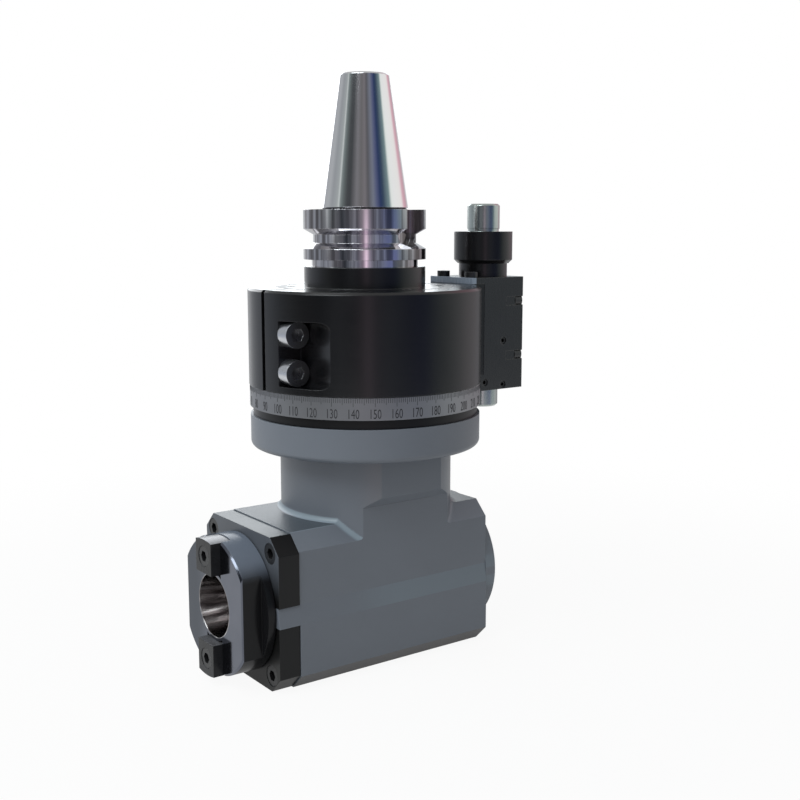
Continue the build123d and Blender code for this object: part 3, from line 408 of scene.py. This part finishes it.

# Steps and bands as on the head housing. The painted side shade and the painted reflection
# strip are measured across the flange from the shank's axis, square to the camera's view
TARNISH_SIZE = 0.03
STREAK_WIDTH = 0.0032
STREAK_LINES = (1, 1, 40)
STREAK_CONTRAST = (0.35, 0.65)
LEVEL_STREAKS = 0.7
UPWARD_FACES = (0.2, 0.4)
FLANGE_TOP = (0.2320, 0.2322)
UNDERCUT_HEIGHT = (0.2316, 0.2318), (0.2332, 0.2335)
UNDERCUT_REACH = (0.0217, 0.0219)
ACROSS_FLANGE = (0.807, -0.591)
SIDE_SHADE_EDGE = (0.016, 0.021)
STRIP_MIDDLE = 0.0012
STRIP_EDGE = (0.0022, 0.0042)

shank_steel = ground_steel(
    "polished_shank_steel", None, GROUND_ROUND, roughness=0.05, spread=0.05
)
shank_x, shank_y, shank_z = (shank_steel.part(axis) for axis in range(3))
shank_reach = (shank_x * shank_x + shank_y * shank_y).maths("SQRT")
undercut = shank_z.within(*UNDERCUT_HEIGHT) * (1 - shank_reach.step(*UNDERCUT_REACH))
streaks = shank_steel.noise(STREAK_WIDTH, STREAK_LINES, detail=4.0).step(*STREAK_CONTRAST)
streaks = streaks + (LEVEL_STREAKS - streaks) * shank_steel.faces(2).step(*UPWARD_FACES)
drawn, side_painted_shade, middle_painted_reflection = (
    shank_steel.blend(streaks, *shades) for shades in (STREAK_TONES, SIDE_PAINTED_SHADE_TONES, MIDDLE_PAINTED_REFLECTION_TONES)
)
across = ACROSS_FLANGE[0] * shank_x + ACROSS_FLANGE[1] * shank_y
from_strip = (across - STRIP_MIDDLE).maths("ABSOLUTE")
# Painted shade on the flange's sides and a painted reflection down its middle
flange_shade = shank_steel.blend(across.maths("ABSOLUTE").step(*SIDE_SHADE_EDGE), drawn, side_painted_shade)
flange_shade = shank_steel.blend(from_strip.step(*STRIP_EDGE), middle_painted_reflection, flange_shade)
taper_shade = shank_steel.blend(shank_steel.noise(TARNISH_SIZE), *TAPER_SHADES)
shank_shade = shank_steel.blend(shank_z.step(*FLANGE_TOP), flange_shade, taper_shade)
# Painted shade in the undercut at the taper's foot
shank_steel.set("Base Color", shank_steel.blend(undercut, shank_shade, UNDERCUT_PAINTED_SHADE))
shank_steel.dress("input_arbor")


# Output spindle
# Hardened steel, with a socket in its nose for 30-size tools and a flat on each side. The
# nose's face and socket are ground bright, and its side is blackened. The socket holds painted
# reflections, bright on its floor and dimmer on its roof, streaked with painted shade; the face
# has painted shade on one side, and the blackened side has painted light along its top.

SOCKET_PAINTED_SHADE = (0.24, 0.22, 0.22)
SOCKET_FLOOR_PAINTED_REFLECTION = (0.95, 0.93, 0.92)
SOCKET_ROOF_PAINTED_REFLECTION = (0.40, 0.39, 0.39)
FACE_SHADES = (0.11, 0.12, 0.15), (0.17, 0.18, 0.215)
FACE_PAINTED_SHADE = (0.045, 0.055, 0.070)
NOSE_SIDE_BLACK_AND_PAINTED_LIGHT = (0.008, 0.008, 0.009), (0.12, 0.14, 0.175)

# Reaches and the socket's rise are from the nose's own axis, and heights are from the floor
NOSE_AXIS_HEIGHT = 0.039
NOSE_LINES = (1, 60, 60)
NOSE_FILM_SIZE = 0.02
SWEEP_WIDTH = 0.004
SWEEP_LINES = (30, 1, 1)
SWEEP_CONTRAST = (0.35, 0.65)
SOCKET_REACH = (0.0160, 0.0163)
SOCKET_RISE = (-0.012, 0.006)
FACE_PAINTED_SHADE_START = (0.0, 0.02)
NOSE_SIDE_REACH = (0.0163, 0.0166)
NOSE_SIDE_START = (-0.0902, -0.0899)
NOSE_SIDE_FADE = (0.056, 0.066)

nose_steel = Finish("ground_nose_steel", Specular_IOR_Level=0.2)
nose_x, nose_y, nose_z = (nose_steel.part(axis) for axis in range(3))
over_axis = nose_z - NOSE_AXIS_HEIGHT
nose_reach = (nose_y * nose_y + over_axis * over_axis).maths("SQRT")
nose_side = nose_reach.step(*NOSE_SIDE_REACH) * nose_x.step(*NOSE_SIDE_START)
nose_film = nose_steel.noise(NOSE_FILM_SIZE)
sweep = nose_steel.noise(SWEEP_WIDTH, SWEEP_LINES, detail=2.0).step(*SWEEP_CONTRAST)
# Painted reflections in the socket, bright below and dimmer above, streaked with painted shade
socket_painted_reflection = nose_steel.blend(over_axis.step(*SOCKET_RISE), SOCKET_FLOOR_PAINTED_REFLECTION, SOCKET_ROOF_PAINTED_REFLECTION)
socket_painted_light = nose_steel.blend(sweep, SOCKET_PAINTED_SHADE, socket_painted_reflection)
face_shade = nose_steel.blend(nose_film, *FACE_SHADES)
# Painted shade on one side of the face
face_shade = nose_steel.blend(0.8 * nose_y.step(*FACE_PAINTED_SHADE_START), face_shade, FACE_PAINTED_SHADE)
bright_shade = nose_steel.blend(nose_reach.step(*SOCKET_REACH), socket_painted_light, face_shade)
# The blackened side, with painted light towards its top
side_shade = nose_steel.blend(nose_z.step(*NOSE_SIDE_FADE), *NOSE_SIDE_BLACK_AND_PAINTED_LIGHT)
nose_steel.set("Base Color", nose_steel.blend(nose_side, bright_shade, side_shade))
nose_steel.set("Metallic", 1 - nose_side)
nose_steel.set("Roughness", 0.10 + 0.04 * nose_film + 0.12 * nose_side)
nose_lines = nose_steel.noise(GRINDING_WIDTH, NOSE_LINES, detail=2.0)
nose_steel.relief(nose_lines, GRINDING_DEPTH, GROUND_EDGE)
nose_steel.dress("output_spindle")


# Output seal
# A lip seal of moulded black nitrile rubber, pressed into the front plate round the spindle.
# It keeps the grease in and the coolant out.

RUBBER_SHADES = (0.012, 0.012, 0.012), (0.028, 0.028, 0.028)
BLOOM_SIZE = 0.004
BLOOM_DEPTH = 0.00002

nitrile = Finish("nitrile_rubber", Metallic=0.0, Specular_IOR_Level=0.4)
bloom = nitrile.noise(BLOOM_SIZE)
nitrile.set("Base Color", nitrile.blend(bloom, *RUBBER_SHADES))
nitrile.set("Roughness", 0.6 + 0.15 * bloom)
nitrile.relief(bloom, BLOOM_DEPTH, 0)
nitrile.dress("output_seal")


# Front plate
# A plate of blackened steel over the front bearings, with notches for the tongues of the
# casting. Four screws hold it. Its ground face has a painted reflection towards the top that
# fades into painted shadow below, and its top faces have painted light.

PLATE_LINES = (30, 1, 30)
PLATE_FRONT = (-0.0754, -0.0752)
PLATE_CLOUD_SIZE = 0.018
PLATE_FRONT_PAINTED_LIGHT_TONES = (0.055, 0.062, 0.073), (0.090, 0.099, 0.115)
PLATE_LOW_PAINTED_SHADOW = (0.006, 0.006, 0.006)
PLATE_FADE = (0.046, 0.066)
PLATE_TOP_PAINTED_LIGHT = (0.045, 0.056, 0.066)
PLATE_TOP = (0.9, 0.95)

plate_black = blackened(
    "plate_black_steel", PLATE_LINES, roughness=0.24, gloss=0.3, rubbed=False
)
plate_front = 1 - plate_black.part(0).step(*PLATE_FRONT)
# Painted reflection on the front face, fading into painted shadow below
front_shade = plate_black.blend(plate_black.noise(PLATE_CLOUD_SIZE), *PLATE_FRONT_PAINTED_LIGHT_TONES)
plate_fade = plate_black.part(2).step(*PLATE_FADE)
front_shade = plate_black.blend(plate_fade, PLATE_LOW_PAINTED_SHADOW, front_shade)
# Painted light on the top faces
rest_shade = plate_black.blend(plate_black.faces(2).step(*PLATE_TOP), BLACK, PLATE_TOP_PAINTED_LIGHT)
plate_black.set("Base Color", plate_black.blend(plate_front, rest_shade, front_shade))
plate_black.dress("front_plate")


# Drive keys and output locknuts
# Small hard pieces, milled or turned and blackened. The keys are screwed to the nose and
# drive the tool, and their ends carry a painted highlight. The nuts hold the output bearings.

KEY_LINES = (30, 1, 30)
KEY_CLOUD_SIZE = 0.008
KEY_END = (0.8, 0.9)
KEY_END_PAINTED_HIGHLIGHT = (0.15, 0.15, 0.16)

key_black = blackened(
    "key_black_steel", KEY_LINES, roughness=0.20, gloss=0.25, rubbed=False
)
# Painted highlight on the faces that look up or down
key_end_highlight = key_black.faces(2).step(*KEY_END)
key_shade = key_black.blend(key_black.noise(KEY_CLOUD_SIZE), BLACK, BLACK_RUBBED)
key_black.set("Base Color", key_black.blend(key_end_highlight, key_shade, KEY_END_PAINTED_HIGHLIGHT))
key_black.set("Metallic", 0.5 * key_end_highlight)
key_black.dress("drive_keys", "rear_locknut", "spindle_locknut")


# Scale ring
# A satin chromed ring, turned, that sits on the upper housing. It has a tick for each degree
# along its top edge and a number at every tenth, cut into it and filled with black.

SCALE_RADIUS = 0.0602
SCALE_BOTTOM = 0.1324
SCALE_TOP = 0.1432
MARK_STAND = 0.00004
TICK_COUNT = 360
TICK_DROP = 0.0002
TICK_WIDTH = 0.00022
TICK_SHORT = 0.0022
TICK_MIDDLE = 0.0031
TICK_LONG = 0.0040
TICK_MIDDLE_EVERY = 5
TICK_LONG_EVERY = 10
NUMBER_EVERY = 10
NUMBER_START = 90
DIGIT_HEIGHT = 0.0046
DIGIT_FOOT = SCALE_BOTTOM + 0.0009
DIGIT_NARROWING = 0.62
DIGIT_CURVE_STEPS = 3

CHROME_SHADES = (0.25, 0.255, 0.27), (0.32, 0.325, 0.34)
TURNING_WIDTH = 0.0003
TURNING_DEPTH = 0.000004
SMEAR_SIZE = 0.02
CHROME_EDGE = 0.0004
FILLING_SHADES = (0.020, 0.020, 0.022), (0.050, 0.050, 0.055)
FILLING_SPOTS = 0.0008

satin_chrome = Finish("satin_chrome", Metallic=1.0)
turning = satin_chrome.noise(TURNING_WIDTH, GROUND_ROUND, detail=2.0)
smears = satin_chrome.noise(SMEAR_SIZE)
satin_chrome.set("Base Color", satin_chrome.blend(smears, *CHROME_SHADES))
satin_chrome.set("Roughness", 0.36 + 0.12 * turning + 0.05 * smears)
satin_chrome.relief(turning, TURNING_DEPTH, CHROME_EDGE)
satin_chrome.dress("scale_ring")

engraving = Finish("engraving_black", Metallic=0.0, Specular_IOR_Level=0.3)
filling = engraving.noise(FILLING_SPOTS)
engraving.set("Base Color", engraving.blend(filling, *FILLING_SHADES))
engraving.set("Roughness", 0.55 + 0.2 * filling)


def link_piece(name, mesh, body, material):
    """Puts a finished mesh in the scene as a piece that rides on a body."""
    piece = bpy.data.objects.new(name, mesh)
    scene.collection.objects.link(piece)
    mesh.materials.clear()
    mesh.materials.append(material)
    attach(piece, body)
    return piece


def tick_tree():
    """Geometry Nodes: thin upright bars on a circle, longer at every fifth and tenth."""
    tree = bpy.data.node_groups.new("scale_ticks", "GeometryNodeTree")
    for size_name in ("Radius", "Top", "Width", "Depth", "Short", "Middle", "Long"):
        tree.interface.new_socket(size_name, in_out="INPUT", socket_type="NodeSocketFloat")
    tree.interface.new_socket("Count", in_out="INPUT", socket_type="NodeSocketInt")
    tree.interface.new_socket("Material", in_out="INPUT", socket_type="NodeSocketMaterial")
    tree.interface.new_socket("Geometry", in_out="OUTPUT", socket_type="NodeSocketGeometry")

    def add(kind, settings=None, links=None):
        made = tree.nodes.new(kind)
        for option, choice in (settings or {}).items():
            setattr(made, option, choice)
        for place, value in (links or {}).items():
            if isinstance(value, bpy.types.NodeSocket):
                tree.links.new(value, made.inputs[place])
            else:
                made.inputs[place].default_value = value
        return made

    def maths(operation, a, b=0.0):
        return add("ShaderNodeMath", {"operation": operation}, {0: a, 1: b}).outputs[0]

    given = add("NodeGroupInput").outputs
    index = add("GeometryNodeInputIndex").outputs[0]
    angle = maths("MULTIPLY", index, maths("DIVIDE", 2 * math.pi, given["Count"]))
    is_middle = maths("COMPARE", maths("MODULO", index, TICK_MIDDLE_EVERY), 0.0)
    is_long = maths("COMPARE", maths("MODULO", index, TICK_LONG_EVERY), 0.0)
    middle_step = maths("MULTIPLY", is_middle, maths("SUBTRACT", given["Middle"], given["Short"]))
    long_step = maths("MULTIPLY", is_long, maths("SUBTRACT", given["Long"], given["Middle"]))
    height = maths("ADD", given["Short"], maths("ADD", middle_step, long_step))
    middle_z = maths("SUBTRACT", given["Top"], maths("DIVIDE", height, 2.0))
    x = maths("MULTIPLY", given["Radius"], maths("COSINE", angle))
    y = maths("MULTIPLY", given["Radius"], maths("SINE", angle))
    spot = add("ShaderNodeCombineXYZ", None, {0: x, 1: y, 2: middle_z}).outputs[0]
    spots = {"Count": given["Count"], "Position": spot}
    points = add("GeometryNodePoints", None, spots).outputs[0]
    bar = add("GeometryNodeMeshCube", None, {"Size": (1.0, 1.0, 1.0)}).outputs["Mesh"]
    sizes = {0: given["Depth"], 1: given["Width"], 2: height}
    size = add("ShaderNodeCombineXYZ", None, sizes).outputs[0]
    turn = add("ShaderNodeCombineXYZ", None, {2: angle}).outputs[0]
    copies = {"Points": points, "Instance": bar, "Rotation": turn, "Scale": size}
    bars = add("GeometryNodeInstanceOnPoints", None, copies).outputs[0]
    real = add("GeometryNodeRealizeInstances", None, {"Geometry": bars}).outputs[0]
    dressing = {"Geometry": real, "Material": given["Material"]}
    done = add("GeometryNodeSetMaterial", None, dressing).outputs[0]
    tree.links.new(done, add("NodeGroupOutput").inputs[0])
    return tree


def grown(name, tree, inputs):
    """Runs a Geometry Nodes tree with named inputs and gives the result as a plain mesh."""
    carrier = bpy.data.objects.new(name, bpy.data.meshes.new(name + "_carrier"))
    scene.collection.objects.link(carrier)
    modifier = carrier.modifiers.new("grow", "NODES")
    modifier.node_group = tree
    for item in tree.interface.items_tree:
        if item.in_out == "INPUT" and item.name in inputs:
            modifier[item.identifier] = inputs[item.name]
    evaluated = carrier.evaluated_get(bpy.context.evaluated_depsgraph_get())
    mesh = bpy.data.meshes.new_from_object(evaluated)
    mesh.name = name
    carrier.modifiers.clear()
    bpy.data.objects.remove(carrier)
    return mesh


ticks = grown(
    "scale_ticks",
    tick_tree(),
    {
        "Radius": SCALE_RADIUS,
        "Top": SCALE_TOP - TICK_DROP,
        "Width": TICK_WIDTH,
        "Depth": 2 * MARK_STAND,
        "Short": TICK_SHORT,
        "Middle": TICK_MIDDLE,
        "Long": TICK_LONG,
        "Count": TICK_COUNT,
        "Material": engraving.material,
    },
)
link_piece("scale_ticks", ticks, "head", engraving.material)


def number_mesh(text):
    """A number as a flat mesh, centred, with its foot at 0."""
    words = bpy.data.curves.new("number", "FONT")
    words.body = text
    words.align_x = "CENTER"
    words.size = 1.0
    words.resolution_u = DIGIT_CURVE_STEPS
    carrier = bpy.data.objects.new("number", words)
    scene.collection.objects.link(carrier)
    evaluated = carrier.evaluated_get(bpy.context.evaluated_depsgraph_get())
    mesh = bpy.data.meshes.new_from_object(evaluated)
    bpy.data.objects.remove(carrier)
    return mesh


numbers = bmesh.new()
zero_heights = [corner.co.y for corner in number_mesh("0").vertices]
digit_scale = DIGIT_HEIGHT / (max(zero_heights) - min(zero_heights))
number_radius = SCALE_RADIUS + MARK_STAND
for degree in range(0, 360, NUMBER_EVERY):
    first = len(numbers.verts)
    numbers.from_mesh(number_mesh(str(degree)))
    numbers.verts.ensure_lookup_table()
    for corner in numbers.verts[first:]:
        aside = corner.co.x * digit_scale * DIGIT_NARROWING
        bearing = math.radians(degree + NUMBER_START) + aside / SCALE_RADIUS
        corner.co = (
            number_radius * math.cos(bearing),
            number_radius * math.sin(bearing),
            DIGIT_FOOT + corner.co.y * digit_scale,
        )
number_plate = bpy.data.meshes.new("scale_numbers")
numbers.to_mesh(number_plate)
numbers.free()
link_piece("scale_numbers", number_plate, "head", engraving.material)


# Stop ring, bearing cover, guide bush, stop collar and upper locknut
# Turned from steel bar and blackened in hot salts, with a film of oil on the level faces. The
# ring is clamped on the upper housing, and the cover is screwed over the top bearings.

OILED_FACES = (0.95, 0.99)
OIL_FADE = (-0.02, 0.03)

turned_black = blackened("turned_black_steel", TURNED, roughness=0.16, gloss=0.55)
oil_left = 0.65 - 0.5 * turned_black.part(0).step(*OIL_FADE)
turned_black.set("Coat Weight", turned_black.faces(2).step(*OILED_FACES) * oil_left)
turned_black.set("Coat Roughness", 0.12)
turned_black.dress("stop_ring", "bearing_cover", "guide_bush", "stop_collar", "upper_locknut")


# Stop block
# A milled block of blackened steel that is screwed to the ring and carries the stop pin. The
# lip that reaches over the ring is given a pale blue-grey colour.

BLOCK_LINES = (1, 1, 30)
BLOCK_CLOUD_SIZE = 0.012
BLOCK_SHADES = BLACK, (0.008, 0.008, 0.009)
LIP_PALE = (0.26, 0.32, 0.40)
LIP_END = (0.0600, 0.0606)

milled_black = blackened("milled_black_steel", BLOCK_LINES, roughness=0.20, rubbed=False)
lip = 1 - milled_black.part(0).step(*LIP_END)
block_shade = milled_black.blend(milled_black.noise(BLOCK_CLOUD_SIZE), *BLOCK_SHADES)
milled_black.set("Base Color", milled_black.blend(lip, block_shade, LIP_PALE))
milled_black.dress("stop_block")


# Clamp screws
# Two socket head cap screws of alloy steel, which close the slit of the stop ring. Their
# heads are black, with a painted highlight of bright metal round the side.

CLAMP_SIDE = (0.2, 0.5)
CLAMP_SIDE_PAINTED_HIGHLIGHT = (0.62, 0.63, 0.66)

clamp_steel = blackened(
    "clamp_screw_steel", NO_LINES, roughness=0.22, edge=0.0004, rubbed=False
)
# Painted highlight round the side of each head
head_side_highlight = 1 - clamp_steel.faces(1).step(*CLAMP_SIDE)
clamp_steel.set("Base Color", clamp_steel.blend(head_side_highlight, BLACK_RUBBED, CLAMP_SIDE_PAINTED_HIGHLIGHT))
clamp_steel.set("Metallic", head_side_highlight)
clamp_steel.dress("clamp_screws")


# Stop pin
# A pin of hardened steel, ground round. It slides in the guide bush and the block, and a set
# screw holds the stop collar on it.

PIN_COLOUR = (0.52, 0.57, 0.55)

pin_steel = ground_steel(
    "ground_pin_steel", PIN_COLOUR, GROUND_ROUND, roughness=0.16, spread=0.08
)
pin_steel.dress("stop_pin")


# Stop spring
# A coil of round wire with a closed, ground turn at each end. It stands on the floor of the
# bush in place of the rigid CAD coil, which is hidden. The real spring shortens as the pin is
# pressed in, but this coil is a fixed mesh.

WIRE_RADIUS = 0.0008
WORKING_TURNS = 5
STEPS_ROUND = 40
WIRE_SIDES = 12

foot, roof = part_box("stop_spring")
coil_radius = (roof.x - foot.x) / 2 - WIRE_RADIUS
coil_x, coil_y = (foot.x + roof.x) / 2, (foot.y + roof.y) / 2
ground_off = WIRE_RADIUS / 2
closed_rise = 2 * WIRE_RADIUS
wire_start = foot.z + WIRE_RADIUS - ground_off
working_rise = roof.z - foot.z - 2 * (WIRE_RADIUS - ground_off + closed_rise)
wire_points = []
wire_faces = []
for ring in range((WORKING_TURNS + 2) * STEPS_ROUND + 1):
    turned = ring / STEPS_ROUND
    working = min(max(turned - 1, 0), WORKING_TURNS)
    rise = closed_rise * (turned - working) + working_rise * working / WORKING_TURNS
    for spot in range(WIRE_SIDES):
        around = 2 * math.pi * spot / WIRE_SIDES
        wire_reach = coil_radius + WIRE_RADIUS * math.cos(around)
        wire_z = wire_start + rise + WIRE_RADIUS * math.sin(around)
        wire_points.append(
            (
                coil_x + wire_reach * math.cos(2 * math.pi * turned),
                coil_y + wire_reach * math.sin(2 * math.pi * turned),
                min(max(wire_z, foot.z), roof.z),
            )
        )
        next_spot = (spot + 1) % WIRE_SIDES
        if ring:
            here, back = ring * WIRE_SIDES, (ring - 1) * WIRE_SIDES
            wire_faces.append((back + spot, here + spot, here + next_spot, back + next_spot))
wire_faces.append(tuple(range(WIRE_SIDES)))
wire_faces.append(tuple(range(len(wire_points) - WIRE_SIDES, len(wire_points)))[::-1])
coil = bpy.data.meshes.new("pin_spring")
coil.from_pydata(wire_points, [], wire_faces)
coil.update()
coil.shade_smooth()
pin_spring = link_piece("pin_spring", coil, "stop_ring", spring_steel.material)
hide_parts("stop_spring")
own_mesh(pin_spring)


# Other screws
# Bought socket head screws and set screws of alloy steel, and the draw bolt, black as they
# come from the maker. Most hold a housing, a cover or a small piece, one keeps the stop pin
# from turning, and the bolt pulls the tool in.

screw_black = blackened("screw_black", NO_LINES, roughness=0.38, edge=0.0002)
screw_black.dress(
    "housing_screws",
    "cover_screws",
    "plate_screws",
    "end_cap_screws",
    "gear_draw_screw",
    "drive_key_screws",
    "draw_bolt",
    "block_top_screws",
    "block_rear_screws",
    "block_plugs",
    "guide_screw",
    "collar_screw",
)


# Studio
# A pale floor, and a surround of soft coloured walls that shows only in gloss. A broad soft
# light hangs high in front at the left, and a weaker one stands behind, a little to the left.

FLOOR_SIZE = 1.2
FLOOR_PAPER = (0.6, 0.6, 0.6, 1.0)
FLOOR_NEAR = 0.93
FLOOR_FADE = (0.2, 0.55)
RAYS = ("Is Camera Ray", "Is Glossy Ray", "Is Transmission Ray")

floor_mesh = bpy.data.meshes.new("floor")
half = FLOOR_SIZE / 2
floor_corners = [(-half, -half, 0), (half, -half, 0), (half, half, 0), (-half, half, 0)]
floor_mesh.from_pydata(floor_corners, [], [(0, 1, 2, 3)])
floor = bpy.data.objects.new("floor", floor_mesh)
scene.collection.objects.link(floor)

pale = Finish("pale_floor")
paper = pale.node("ShaderNodeBsdfDiffuse", None, {"Color": FLOOR_PAPER})
glow = pale.node("ShaderNodeEmission", None, {"Strength": 1.0})
seen, mirrored, through = (pale.node("ShaderNodeLightPath", output=ray) for ray in RAYS)
floor_x, floor_y = pale.part(0), pale.part(1)
from_middle = (floor_x * floor_x + floor_y * floor_y).maths("SQRT")
white = FLOOR_NEAR + (1 - FLOOR_NEAR) * from_middle.step(*FLOOR_FADE)
share = white * (seen + 0.5 * mirrored + through).held()
surface = pale.node("ShaderNodeMixShader", None, [share, paper, glow])
pale.tree.links.new(surface.socket, pale.tree.nodes["Material Output"].inputs["Surface"])
floor_mesh.materials.append(pale.material)

world = bpy.data.worlds.new("surround")
scene.world = world
world.use_nodes = True
world.cycles.sampling_method = "NONE"


class Surround(Finish):
    """The walls of the studio, worked out with the same sums as a finish."""

    def __init__(self, world):
        self.tree = world.node_tree
        self.shader = self.tree.nodes["Background"]


# Degrees round the head from the camera's side, to the right, and the colour of the wall
# there: the upper walls show in what looks up a little, and the lower ones in what looks down
UPPER_WALLS = (
    (-180, (0.76, 0.84, 0.88)),
    (-150, (0.44, 0.45, 0.47)),
    (-112, (0.48, 0.50, 0.52)),
    (-96, (0.36, 0.38, 0.40)),
    (-83, (0.40, 0.43, 0.44)),
    (-76, (0.44, 0.47, 0.47)),
    (-72, (0.72, 0.77, 0.76)),
    (-68, (0.26, 0.30, 0.30)),
    (-59, (0.14, 0.165, 0.165)),
    (-48, (0.07, 0.075, 0.08)),
    (-38, (0.06, 0.065, 0.07)),
    (-28, (0.14, 0.14, 0.15)),
    (-20, (0.22, 0.215, 0.23)),
    (-8, (0.17, 0.165, 0.17)),
    (3, (0.22, 0.205, 0.22)),
    (12, (0.12, 0.12, 0.13)),
    (26, (0.21, 0.23, 0.29)),
    (36, (0.11, 0.13, 0.24)),
    (46, (0.03, 0.05, 0.13)),
    (55, (0.05, 0.08, 0.13)),
    (73, (0.22, 0.31, 0.32)),
    (81, (0.95, 1.0, 0.95)),
    (94, (1.0, 1.0, 0.98)),
    (108, (1.0, 1.0, 0.96)),
    (120, (1.0, 0.95, 0.93)),
    (133, (0.80, 0.48, 0.55)),
    (147, (0.62, 0.42, 0.47)),
    (162, (0.68, 0.66, 0.68)),
    (180, (0.76, 0.84, 0.88)),
)
LOWER_WALLS = (
    (-180, (0.55, 0.56, 0.58)),
    (-152, (0.88, 0.90, 0.93)),
    (-140, (0.62, 0.64, 0.68)),
    (-125, (0.52, 0.55, 0.61)),
    (-100, (0.46, 0.50, 0.57)),
    (-85, (0.28, 0.30, 0.34)),
    (-68, (0.12, 0.12, 0.13)),
    (-50, (0.10, 0.10, 0.115)),
    (-40, (0.06, 0.07, 0.085)),
    (-24, (0.22, 0.235, 0.27)),
    (-12, (0.13, 0.135, 0.17)),
    (-2, (0.22, 0.18, 0.22)),
    (5, (0.86, 0.67, 0.80)),
    (11, (0.28, 0.25, 0.31)),
    (24, (0.25, 0.27, 0.33)),
    (42, (0.16, 0.18, 0.26)),
    (55, (0.12, 0.14, 0.27)),
    (63, (0.12, 0.14, 0.27)),
    (72, (0.24, 0.28, 0.34)),
    (85, (0.32, 0.36, 0.38)),
    (100, (0.50, 0.52, 0.54)),
    (116, (0.60, 0.58, 0.60)),
    (136, (0.45, 0.43, 0.45)),
    (152, (0.30, 0.30, 0.32)),
    (168, (0.32, 0.32, 0.34)),
    (180, (0.55, 0.56, 0.58)),
)
CEILING = (0.55, 0.55, 0.55)
CEILING_EDGE = (0.55, 0.85)
WALL_JOINT = (-0.04, 0.06)
FILL = 0.55
FILL_SLANT = 0.18
TO_RIGHT = (0.8070, -0.5906, 0.0)
TO_FRONT = (-0.5906, -0.8070, 0.0)
UPWARD = (0.0, 0.0, 1.0)

walls = Surround(world)
look = walls.node("ShaderNodeTexCoord", output="Generated")
look_right, look_front, look_up = (
    walls.node("ShaderNodeVectorMath", {"operation": "DOT_PRODUCT"}, [look, way], 1)
    for way in (TO_RIGHT, TO_FRONT, UPWARD)
)
turn_share = look_right.maths("ARCTAN2", look_front) / (2 * math.pi) + 0.5
lower, upper = (
    walls.node(
        "ShaderNodeValToRGB",
        {"stops": [((angle + 180) / 360, colour) for angle, colour in wall]},
        [turn_share],
    )
    for wall in (LOWER_WALLS, UPPER_WALLS)
)
panels = walls.blend(look_up.step(*WALL_JOINT), lower, upper)
lidded = walls.blend(look_up.maths("ABSOLUTE").step(*CEILING_EDGE), panels, CEILING)
seen, mirrored, through = (walls.node("ShaderNodeLightPath", output=ray) for ray in RAYS)
walls.set("Color", walls.blend(mirrored, (1, 1, 1), lidded))
fill = FILL - FILL_SLANT * look_right
walls.set("Strength", fill + (1 - fill) * (seen + mirrored + through).held())

HEAD_MIDDLE = Vector((0, 0, 0.17))


def soft_light(name, place, size, power, colour):
    """An area light that looks at the middle of the head."""
    lamp = bpy.data.lights.new(name, "AREA")
    lamp.shape = "RECTANGLE"
    lamp.size, lamp.size_y = size
    lamp.energy = power
    lamp.color = colour
    stand = bpy.data.objects.new(name, lamp)
    stand.location = place
    stand.rotation_euler = (HEAD_MIDDLE - Vector(place)).to_track_quat("-Z", "Y").to_euler()
    scene.collection.objects.link(stand)


soft_light(
    "soft_box_left",
    place=(-0.85, -0.15, 1.25),
    size=(1.0, 1.0),
    power=15.0,
    colour=(0.90, 0.97, 1.0),
)
soft_light(
    "soft_box_back",
    place=(0.36, 1.25, 0.62),
    size=(1.2, 0.7),
    power=6.0,
    colour=(0.96, 0.98, 1.0),
)
